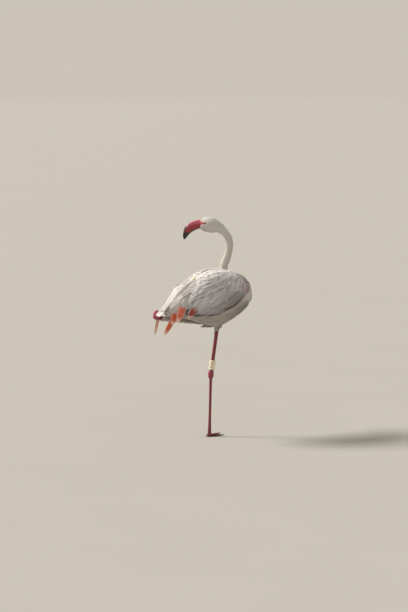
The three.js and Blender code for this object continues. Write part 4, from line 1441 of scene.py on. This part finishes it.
def tail_batch(count, millimetres, tint, outline):
    """Feathers on an arc: where they begin and end, half its width at both, their width, its height."""
    begin, end, root_reach, tip_reach, width, height = mm(*millimetres)
    angle = 1.3 * np.linspace(-1, 1, count)
    u = shares(TAIL_STATIONS)[:, None]
    root_side, tip_side = root_reach * np.sin(angle), tip_reach * np.sin(angle)
    along = begin + (end - begin) * u + chance.normal(0, 5 * MM, count)
    sideways = root_side + (tip_side - root_side) * u
    profile = between(u, (0, 0.3, 1), (0.1, 0.95, 0.4))
    upward = height * profile * np.cos(angle) + chance.normal(0, 0.8 * MM, count)
    line = TAIL_ROOT + along[..., None] * TAIL_WAY + sideways[..., None] * TAIL_SIDE
    line = line + upward[..., None] * TAIL_TOP
    out_of_top, out_of_side = root_reach * np.cos(angle), abs(height) * np.sin(angle)
    ups = unit(TAIL_TOP * out_of_top[:, None] + TAIL_SIDE * out_of_side[:, None])
    ups = np.tile(ups, (TAIL_STATIONS, 1, 1))
    return plumes(line, ups, width, 0, 0, paint(tint), outline=outline, roll=3)


tail_batches = [tail_batch(*layer) for layer in TAIL_LAYERS]
feather_piece("tail_feathers", tail_batches, soft_plumage, replaced=["tail"])

# %% [markdown]
# ## Bill
#
# The bill is horn over bone, bent down in the middle, because a flamingo feeds with its head upside down.
# It is a loft: two curves seen from the side, the ridge and the cutting edge, with a rounded section
# between them whose width changes along the way. Both halves are built by one function. The nostril is a
# long slit, pressed into the side.

# %% Outlines of the bill, forward of its root and above it
CULMEN = ((-5, 21), (6, 20.5), (20, 18), (44, 9), (60.5, -1), (70.5, -13), (76, -28), (80, -46),
          (79.5, -62), (74.5, -71.5))
TOMIUM = ((-5, 0), (6, 0), (18, -0.3), (34, -1.4), (49, -5.5), (61, -13.5), (69, -26), (73, -42),
          (75, -58), (74.2, -71))
GONYS = ((-5, -18), (6, -21), (12, -23), (24, -28), (36, -34.5), (47, -43), (56, -53), (63, -62),
         (69, -68.5), (73.4, -71.2))
UPPER_HALF_WIDTH = mm(12.6, 12.8, 12, 10, 7.5, 4)
UPPER_WIDTH_AT = (0, 0.1, 0.35, 0.6, 0.82, 1)
LOWER_HALF_WIDTH = mm(11.5, 13, 12, 8, 3.5)
LOWER_WIDTH_AT = (0, 0.32, 0.57, 0.82, 1)
SECTION_ROUNDNESS = 0.8
print("bill from culmen to tip, mm:", round(math.dist(CULMEN[0], CULMEN[-1])))

# %% [markdown]
# A tube of rings is the plainest loft. Two helpers serve the bill, the eyes and the leg ring: one lists the
# faces of a tube, and one makes a finished piece from points and faces.

# %% Tubes and finished pieces
def tube_faces(rings, ring, closed=False):
    """Faces of a tube of so many rings. It gets a cap on both ends, or closes on itself."""
    faces = []
    for k in range(rings if closed else rings - 1):
        near, far = k * ring, (k + 1) % rings * ring
        faces += [(near + i, near + (i + 1) % ring, far + (i + 1) % ring, far + i) for i in range(ring)]
    if not closed:
        faces.append(tuple(range(ring - 1, -1, -1)))
        faces.append(tuple((rings - 1) * ring + i for i in range(ring)))
    return faces


def put_mesh(name, points, faces, finish, notes=None, replaced=(), smooth=True):
    """A finished piece from points and faces, with a number for each point where the finish needs one."""
    mesh = bpy.data.meshes.new(name)
    mesh.from_pydata([tuple(point) for point in points], [], faces)
    for key, values in (notes or {}).items():
        note(mesh, key, values)
    mesh.materials.append(finish)
    hide_facets(mesh, smooth)
    piece = bpy.data.objects.new(name, mesh)
    scene.collection.objects.link(piece)
    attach(piece, "root")
    if replaced:
        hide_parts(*replaced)
    print(name, "faces:", len(faces))


print("faces of a capped cube:", len(tube_faces(2, 4)))

# %% [markdown]
# The horn is coloured near the face and black from the bend on, with an uneven border between. The black
# runs back along the cutting edge of the upper half. Along the keel of the lower one a black line is painted
# shade, where the underside turns from the light. The upper half has a breath of violet before the black,
# and its nostril is darker.

# %% Horn of the bill
BLACK_HORN = paint("171314")


def horn(name, light, dark):
    """The start of a horn finish: its colour near the face, the blotches in it and how it shines."""
    finish = Finish(name, Roughness=0.36, Coat_Weight=0.25, Coat_Roughness=0.25)
    blotch = finish.noise(150, 4.0, 0.65)
    coloured = finish.mix(finish.span(blotch, 0.35, 0.65), paint(light), paint(dark))
    return finish, blotch, coloured


def finished_horn(finish, black, coloured):
    """The same horn with its black laid on, and fine relief."""
    base = finish.mix(black, coloured, BLACK_HORN)
    return finish.wear(Base_Color=base, Normal=finish.bump(finish.noise(420, 3.0), 0.15 * MM, 0.35))


def upper_horn():
    """Rose, then violet, then black from the bend on and along the cutting edge."""
    finish, blotch, coloured = horn("horn_upper", "b8485f", "9c344e")
    t, rise = finish.attribute("t"), finish.attribute("rise")
    edge = finish.math("POWER", finish.math("SUBTRACT", 1.0, rise), 3.0)
    place = finish.math("MULTIPLY_ADD", edge, 0.16, finish.math("MULTIPLY_ADD", blotch, 0.05, t))
    coloured = finish.mix(finish.span(finish.attribute("slit"), 0.2, 0.8), coloured, paint("6d2a48"))
    coloured = finish.mix(finish.span(t, 0.30, 0.42, 0, 0.4), coloured, paint("8f4a86"))
    return finished_horn(finish, finish.span(place, 0.50, 0.54), coloured)


def lower_horn():
    """Deep red, and black at the tip, with painted shade in black along the keel."""
    finish, blotch, coloured = horn("horn_lower", "9f282c", "701a1e")
    drop = finish.math("MULTIPLY_ADD", blotch, 0.012, finish.attribute("drop"))
    on_keel = finish.span(finish.attribute("rise"), 0.72, 0.86)
    # painted shade: the keel of the lower half is blackened where its underside is shaded
    keel_shade = finish.math("MULTIPLY", on_keel, finish.span(finish.attribute("t"), 0.12, 0.25))
    black = finish.math("MAXIMUM", finish.span(drop, -0.026, -0.034), keel_shade)
    return finished_horn(finish, black, coloured)


print("black of the horn:", [round(v, 3) for v in BLACK_HORN])

# %% [markdown]
# Each section of a half runs over an arch from cutting edge to cutting edge, and back along a floor that is
# slightly hollow in the upper half and slightly full in the lower one.

# %% The two halves of the bill
BILL_STATIONS = 120
ARCH_POINTS, FLOOR_POINTS = 35, 9
NOSTRIL_AT, NOSTRIL_LENGTH, NOSTRIL_DEPTH = mm(31, 10, 1.5)
NOSTRIL_RISE, NOSTRIL_HEIGHT = 0.47, 0.09
WIDTH_BLUR = 13


def mandible(name, ridge, edge, widths, widths_at, finish, nostril, hollow):
    """One half of the bill, between its ridge and its cutting edge."""
    ridge = smooth_line(MM * np.array(ridge, float), BILL_STATIONS)
    edge = smooth_line(MM * np.array(edge, float), BILL_STATIONS)
    t = np.linspace(0, 1, BILL_STATIONS)
    padded = np.pad(between(t, widths_at, widths), WIDTH_BLUR // 2, mode="edge")
    half = np.convolve(padded, np.ones(WIDTH_BLUR) / WIDTH_BLUR, mode="valid")
    arch = np.linspace(0, np.pi, ARCH_POINTS)
    floor_across = np.linspace(-1, 1, FLOOR_POINTS + 2)[1:-1]
    arch_across = np.sign(np.cos(arch)) * np.abs(np.cos(arch)) ** SECTION_ROUNDNESS
    across = np.concatenate([arch_across, floor_across])
    rise = np.concatenate([np.sin(arch) ** SECTION_ROUNDNESS, hollow * (1 - floor_across ** 2)])
    flat = edge[:, None] + (ridge - edge)[:, None] * rise[None, :, None]
    from_nostril = ((flat[..., 0] - NOSTRIL_AT) / NOSTRIL_LENGTH) ** 4
    slit = np.exp(-from_nostril - ((rise[None] - NOSTRIL_RISE) / NOSTRIL_HEIGHT) ** 2) * nostril
    reach = half[:, None] * across[None] - np.sign(across) * slit * NOSTRIL_DEPTH
    points = BILL_ROOT + flat[..., :1] * FORWARD + flat[..., 1:] * UPWARD + reach[..., None] * HEAD_LEFT
    notes = {"t": np.repeat(t, len(rise)), "rise": np.tile(rise, BILL_STATIONS),
             "drop": flat[..., 1].ravel(), "slit": slit.ravel()}
    faces = tube_faces(BILL_STATIONS, len(rise))
    put_mesh(name, points.reshape(-1, 3), faces, finish, notes, [name])


mandible("bill_upper", CULMEN, TOMIUM, UPPER_HALF_WIDTH, UPPER_WIDTH_AT, upper_horn(), 1, 0.12)
mandible("bill_lower", GONYS, TOMIUM, LOWER_HALF_WIDTH, LOWER_WIDTH_AT, lower_horn(), 0, -0.1)

# %% [markdown]
# ## Eyes
#
# A flamingo's eye is small and pale yellow. The whole ball is modelled, most of it hidden, so that it sits
# as deep as a real one. The cornea bulges a little over the pupil. Rings of colour are drawn by the
# distance from the eye's axis.

# %% Eyes
EYE_RINGS, EYE_RING = 40, 56
POLE = 0.02
CORNEA_HEIGHT, CORNEA_REACH = mm(0.5, 3)
PUPIL_EDGE, IRIS_EDGE = (2.1 * MM, 1.9 * MM), (3.6 * MM, 4.3 * MM)
EYE_MIDDLE = BILL_ROOT + EYE_FORWARD * FORWARD + EYE_ABOVE * UPWARD


def eye_finish():
    """A dark pupil, a flecked yellow iris and a dark rim, under a wet coat."""
    finish = Finish("eye", Roughness=0.12, Coat_Weight=1.0, Coat_Roughness=0.02)
    from_axis = finish.attribute("from_axis")
    flecks = finish.span(finish.noise(900, 3.0), 0.3, 0.7)
    iris = finish.mix(flecks, paint("caa350"), paint("9c7427"))
    rimmed = finish.mix(finish.span(from_axis, *IRIS_EDGE), iris, paint("2a1712"))
    return finish.wear(Base_Color=finish.mix(finish.span(from_axis, *PUPIL_EDGE), rimmed, paint("080606")))


eye_look = eye_finish()
polar = np.linspace(POLE, np.pi - POLE, EYE_RINGS)[:, None]
turn = np.linspace(0, 2 * np.pi, EYE_RING, endpoint=False)[None]
off_axis = EYE_RADIUS * np.sin(polar) * np.ones_like(turn)
bulge = CORNEA_HEIGHT * np.exp(-(off_axis / CORNEA_REACH) ** 2) * (polar < 1.5)
outward = EYE_OUT + (EYE_RADIUS * np.cos(polar) + bulge)
for side, sign in SIDES:
    points = EYE_MIDDLE + (outward * sign)[..., None] * HEAD_LEFT
    points = points + (off_axis * np.cos(turn))[..., None] * FORWARD
    points = points + (off_axis * np.sin(turn) * sign)[..., None] * UPWARD
    put_mesh("eye_" + side, points.reshape(-1, 3), tube_faces(EYE_RINGS, EYE_RING), eye_look,
             {"from_axis": off_axis.ravel()}, ["eye_" + side])
print("eye across, mm:", round(2000 * float(EYE_RADIUS), 1))

# %% [markdown]
# ## Lids and leg plates
#
# Round the eye the skin is bare and rises into a thin lid. The legs are covered in horny plates that ring
# the front and back like stacked bricks. The lids and the plates are pushed out of the skin itself, so
# nothing has to be joined on. Around each eye the mesh is too coarse for that, so it is divided first.

# %% Divide the skin round the eyes
LID_OUT, FINE_REACH = mm(21, 9.5)
eye_centres = [Vector(EYE_MIDDLE + sign * LID_OUT * HEAD_LEFT) for _, sign in SIDES]
detailed = bmesh.new()
detailed.from_mesh(skin.data)
near_eye = [edge for edge in detailed.edges
            if min((edge.verts[0].co - centre).length for centre in eye_centres) < FINE_REACH]
bmesh.ops.subdivide_edges(detailed, edges=near_eye, cuts=2, use_grid_fill=True)
bmesh.ops.triangulate(detailed, faces=detailed.faces[:])
detailed.to_mesh(skin.data)
detailed.free()
hide_facets(skin.data)
print("skin points with lids:", len(skin.data.vertices))

# %% [markdown]
# A lid is a low ring round each eye. The plates are ridges that come and go along the leg, one every five
# millimetres. Both are worked out for all points at once: lids are pushed out from the side of the head,
# and plates along the skin's own facing.

# %% Raise the lids and the plates
LID_RADIUS, LID_THICK, LID_HEIGHT = mm(5.2, 0.6, 1.0)
PLATE, PLATE_HEIGHT = mm(5, 0.45)
bare_points, bare_normals = points_of(skin.data), normals_of(skin.data)
bare_parts = parts_at(bare_points)
forward, leftward, above = on_head(bare_points)
from_eye = np.hypot(forward - EYE_FORWARD, above - EYE_ABOVE)
on_face = is_part(bare_parts, "head")
lid = np.exp(-((from_eye - LID_RADIUS) / LID_THICK) ** 2) * on_face
bare_points = bare_points + (lid * np.sign(leftward) * LID_HEIGHT)[:, None] * HEAD_LEFT

plated = is_part(bare_parts, "shank", "tarsus")
left_leg = is_part(bare_parts, "shank_left", "tarsus_left")
along_leg = np.where(left_leg, bare_points[:, 0], bare_points[:, 2])
front_or_back = 1 - ease(np.abs(bare_normals[:, 1]), 0.5, 0.85)
plate_height = np.abs(np.sin(np.pi * along_leg / PLATE)) ** 0.45
raised = plated * front_or_back * (plate_height - 0.9) * PLATE_HEIGHT
bare_points = bare_points + raised[:, None] * bare_normals
put_points(skin.data, bare_points)
print("points on plated legs:", int(plated.sum()))

# %% [markdown]
# ## Bare skin
#
# Between the eye and the bill the skin is red, round the eye it is pink, and under the feathers it takes
# their colour. The legs are a dull dark red, pinker at the hocks and browner on the feet. Small scales lie
# between the plates. Their outlines come from a pattern of cells (a Voronoi texture), and the joints
# between plates are darker, because dirt stays there.

# %% Tint of the bare skin
HOCK_LEFT, HOCK_LEFT_REACH = mm(-260, 53, 580), 30 * MM
HOCK_RIGHT, HOCK_RIGHT_REACH = mm(11, 5, 290), 26 * MM
EYE_RING_RADIUS, EYE_RING_THICK = mm(5, 1.2)


def near(points, place, reach):
    """1 at the place, falling softly to 0 within about twice the reach."""
    return np.exp(-(np.linalg.norm(points - place, axis=1) / reach) ** 2)


lore_edge = LORE_SLOPE * (forward + 0.018)
lore_share = ease(forward, -0.0195, -0.017)
lore_share = lore_share * (1 - ease(np.abs(above - LORE_ABOVE), 0.0028 + lore_edge, 0.0044 + lore_edge))
eye_ring = np.exp(-((from_eye - EYE_RING_RADIUS) / EYE_RING_THICK) ** 2)
leg_parts = is_part(bare_parts, "shank", "tarsus", "foot", "hock")
hock_heat = near(bare_points, HOCK_LEFT, HOCK_LEFT_REACH)
hock_heat += 0.6 * near(bare_points, HOCK_RIGHT, HOCK_RIGHT_REACH)
skin_tint = blend(coat_colour(bare_points), paint("d9b3a6"), np.full(len(bare_points), 0.05))
skin_tint = blend(skin_tint, paint("ab3c40"), on_face * np.clip(lore_share, 0, 1))
skin_tint = blend(skin_tint, paint("c98d84"), eye_ring * on_face)
skin_tint[leg_parts] = paint("7f2b2f")
skin_tint = blend(skin_tint, paint("b3446f"), np.clip(hock_heat, 0, 1) * leg_parts)
skin_tint = blend(skin_tint, paint("5e2428"), 0.5 * is_part(bare_parts, "foot"))
note(skin.data, "tint", skin_tint, "FLOAT_COLOR")
note(skin.data, "scaly", leg_parts)
note(skin.data, "joint", plated * front_or_back * (1 - plate_height))
print("tint of a shin:", skin_tint[plated].mean(axis=0).round(2))

# %% [markdown]
# The tint is now ready on every point. The finish adds what is too small for the mesh: mottling, the
# outlines of the scales, the dirt in the joints and a little relief.

# %% Finish of the bare skin
def skin_look():
    """Plain skin in its own tint, and legs that are mottled, scaly and dirty in the joints."""
    finish = Finish("bare_skin", Roughness=0.5)
    tint, scaly = finish.attribute("tint", "Color"), finish.attribute("scaly")
    scales = finish.node("TexVoronoi", feature="DISTANCE_TO_EDGE")
    finish.feed(scales.inputs["Vector"], finish.place())
    scales.inputs["Scale"].default_value = 420
    scale_edge = finish.math("MULTIPLY", finish.span(scales.outputs["Distance"], 0.0, 0.12, 1.0, 0.0), scaly)
    mottle = finish.span(finish.noise(60, 4.0, 0.6), 0.35, 0.65, 0, 0.3)
    mottled = finish.mix(mottle, tint, paint("5b1f24"), "MULTIPLY")
    in_joints = finish.span(finish.attribute("joint"), 0.2, 0.7, 0, 0.7)
    dirt = finish.math("MAXIMUM", finish.math("MULTIPLY", scale_edge, 0.35), in_joints)
    legs = finish.mix(dirt, mottled, paint("2c1214"))
    relief = finish.bump(finish.math("SUBTRACT", 1.0, scale_edge), 0.2 * MM, 0.5)
    return finish.wear(Base_Color=finish.mix(scaly, tint, legs), Normal=relief)


skin.data.materials.clear()
skin.data.materials.append(skin_look())
print("finish:", skin.data.materials[0].name)

# %% [markdown]
# ## Claws
#
# The claws are short and blunt, worn by mud. They are copies of the solids, rebuilt from finer cubes,
# smoothed and then swelled by half a millimetre, so that they stand proud of the toes.

# %% Claws
CLAW_CUBE, CLAW_SWELL = 0.5 * MM, 0.5 * MM
claws = remeshed("claws", claw_names, CLAW_CUBE)
put_points(claws.data, smoothed(points_of(claws.data), edges_of(claws.data), 0.5, 5))
put_points(claws.data, points_of(claws.data) + CLAW_SWELL * normals_of(claws.data))
hide_facets(claws.data)
claw_horn = Finish("claw_horn", Roughness=0.4)
claw_tone = claw_horn.mix(claw_horn.noise(300), paint("3b2a28"), paint("241a1a"))
claws.data.materials.clear()
claws.data.materials.append(claw_horn.wear(Base_Color=claw_tone))
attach(claws, "root")
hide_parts(*claw_names)
print("claw points:", len(claws.data.vertices))

# %% [markdown]
# ## Leg ring
#
# The ring is a strip of two-layer plastic, bent to a tube: pale, with digits cut through to the dark layer.
# Its wall has rounded rims. The wall's profile is drawn once and carried round the axis.

# %% Leg ring
RING_BOTTOM, RING_TOP = mm(16.7 - 2.75, 2.6 + 1.2, 313), mm(16.7 + 2.75, 2.6 - 1.2, 356)
RING_INNER, RING_OUTER, RING_EDGE = mm(11, 13.6, 0.7)
RING_SEGMENTS = 96
ring_axis = unit(RING_TOP - RING_BOTTOM)
ring_side = unit(np.cross(ring_axis, (0, 1.0, 0)))
ring_front = np.cross(ring_axis, ring_side)
RING_LENGTH = float(np.linalg.norm(RING_TOP - RING_BOTTOM))


def round_the_ring(radius, angle, height):
    """A place given by its distance from the ring's axis, the way round it and the height along it."""
    radius, angle, height = (np.asarray(value)[..., None] for value in (radius, angle, height))
    outward = ring_side * np.cos(angle) + ring_front * np.sin(angle)
    return RING_BOTTOM + ring_axis * height + radius * outward


soft = RING_EDGE * (1 - math.cos(math.pi / 4))
profile = [(RING_INNER, RING_EDGE), (RING_INNER + soft, soft), (RING_INNER + RING_EDGE, 0),
           (RING_OUTER - RING_EDGE, 0), (RING_OUTER - soft, soft), (RING_OUTER, RING_EDGE)]
profile += [(radius, RING_LENGTH - height) for radius, height in reversed(profile)]
turns = np.linspace(0, 2 * np.pi, RING_SEGMENTS, endpoint=False)
ring_points = np.array([round_the_ring(radius, angle, height)
                        for angle in turns for radius, height in profile])
ring_finish = Finish("ring_plastic", Roughness=0.45)
ring_tone = ring_finish.mix(ring_finish.noise(90, 4.0), paint("e6ddc6"), paint("cdbfa2"))
put_mesh("leg_ring", ring_points, tube_faces(RING_SEGMENTS, len(profile), closed=True),
         ring_finish.wear(Base_Color=ring_tone), replaced=["leg_ring"], smooth=False)

# %% [markdown]
# ## Digits on the ring
#
# The digits are plain ones that stand for any number, and they are repeated three times round the ring.
# They are written flat with a text object and then bent round. Long edges would cut through the curved
# wall, so the letters are divided finely first.

# %% Write the digits
DIGITS = "0123"
DIGIT_SIZE, DIGIT_THICK, LONGEST_EDGE = mm(15, 0.2, 1)
writing = bpy.data.curves.new("digits", "FONT")
writing.body = DIGITS
writing.size = DIGIT_SIZE
writing.align_x, writing.align_y = "CENTER", "CENTER"
writing.extrude = DIGIT_THICK
writing_object = bpy.data.objects.new("digits", writing)
scene.collection.objects.link(writing_object)
digits_mesh = bmesh.new()
digits_mesh.from_mesh(writing_object.evaluated_get(bpy.context.evaluated_depsgraph_get()).to_mesh())
bmesh.ops.triangulate(digits_mesh, faces=digits_mesh.faces[:])
for _ in range(4):
    long_edges = [edge for edge in digits_mesh.edges if edge.calc_length() > LONGEST_EDGE]
    bmesh.ops.subdivide_edges(digits_mesh, edges=long_edges, cuts=1)
    bmesh.ops.triangulate(digits_mesh, faces=digits_mesh.faces[:])
written = bpy.data.meshes.new("written")
digits_mesh.to_mesh(written)
digits_mesh.free()
flat_digits = points_of(written)
digit_faces = [tuple(face.vertices) for face in written.polygons]
bpy.data.objects.remove(writing_object)
print("faces of one number:", len(digit_faces))

# %% [markdown]
# To bend the page, its height becomes a turn round the ring, and its width becomes a height along it. So
# the number reads along the leg.

# %% Bend them round the ring
FIRST_TURN, NUMBERS = 0.6, 3
x, y, z = flat_digits.T
digit_points, all_digit_faces = [], []
for number in range(NUMBERS):
    turn_at = FIRST_TURN + number * 2 * math.pi / NUMBERS
    start = number * len(flat_digits)
    digit_points.append(round_the_ring(RING_OUTER + z, turn_at - y / RING_OUTER, RING_LENGTH / 2 + x))
    all_digit_faces += [tuple(start + i for i in face) for face in digit_faces]
digit_finish = Finish("ring_digits", Roughness=0.5)
digit_tone = digit_finish.mix(digit_finish.noise(200), paint("1c1a1a"), paint("2b2827"))
digit_finish.wear(Base_Color=digit_tone)
put_mesh("ring_digits", np.concatenate(digit_points), all_digit_faces, digit_finish.material,
         smooth=False)
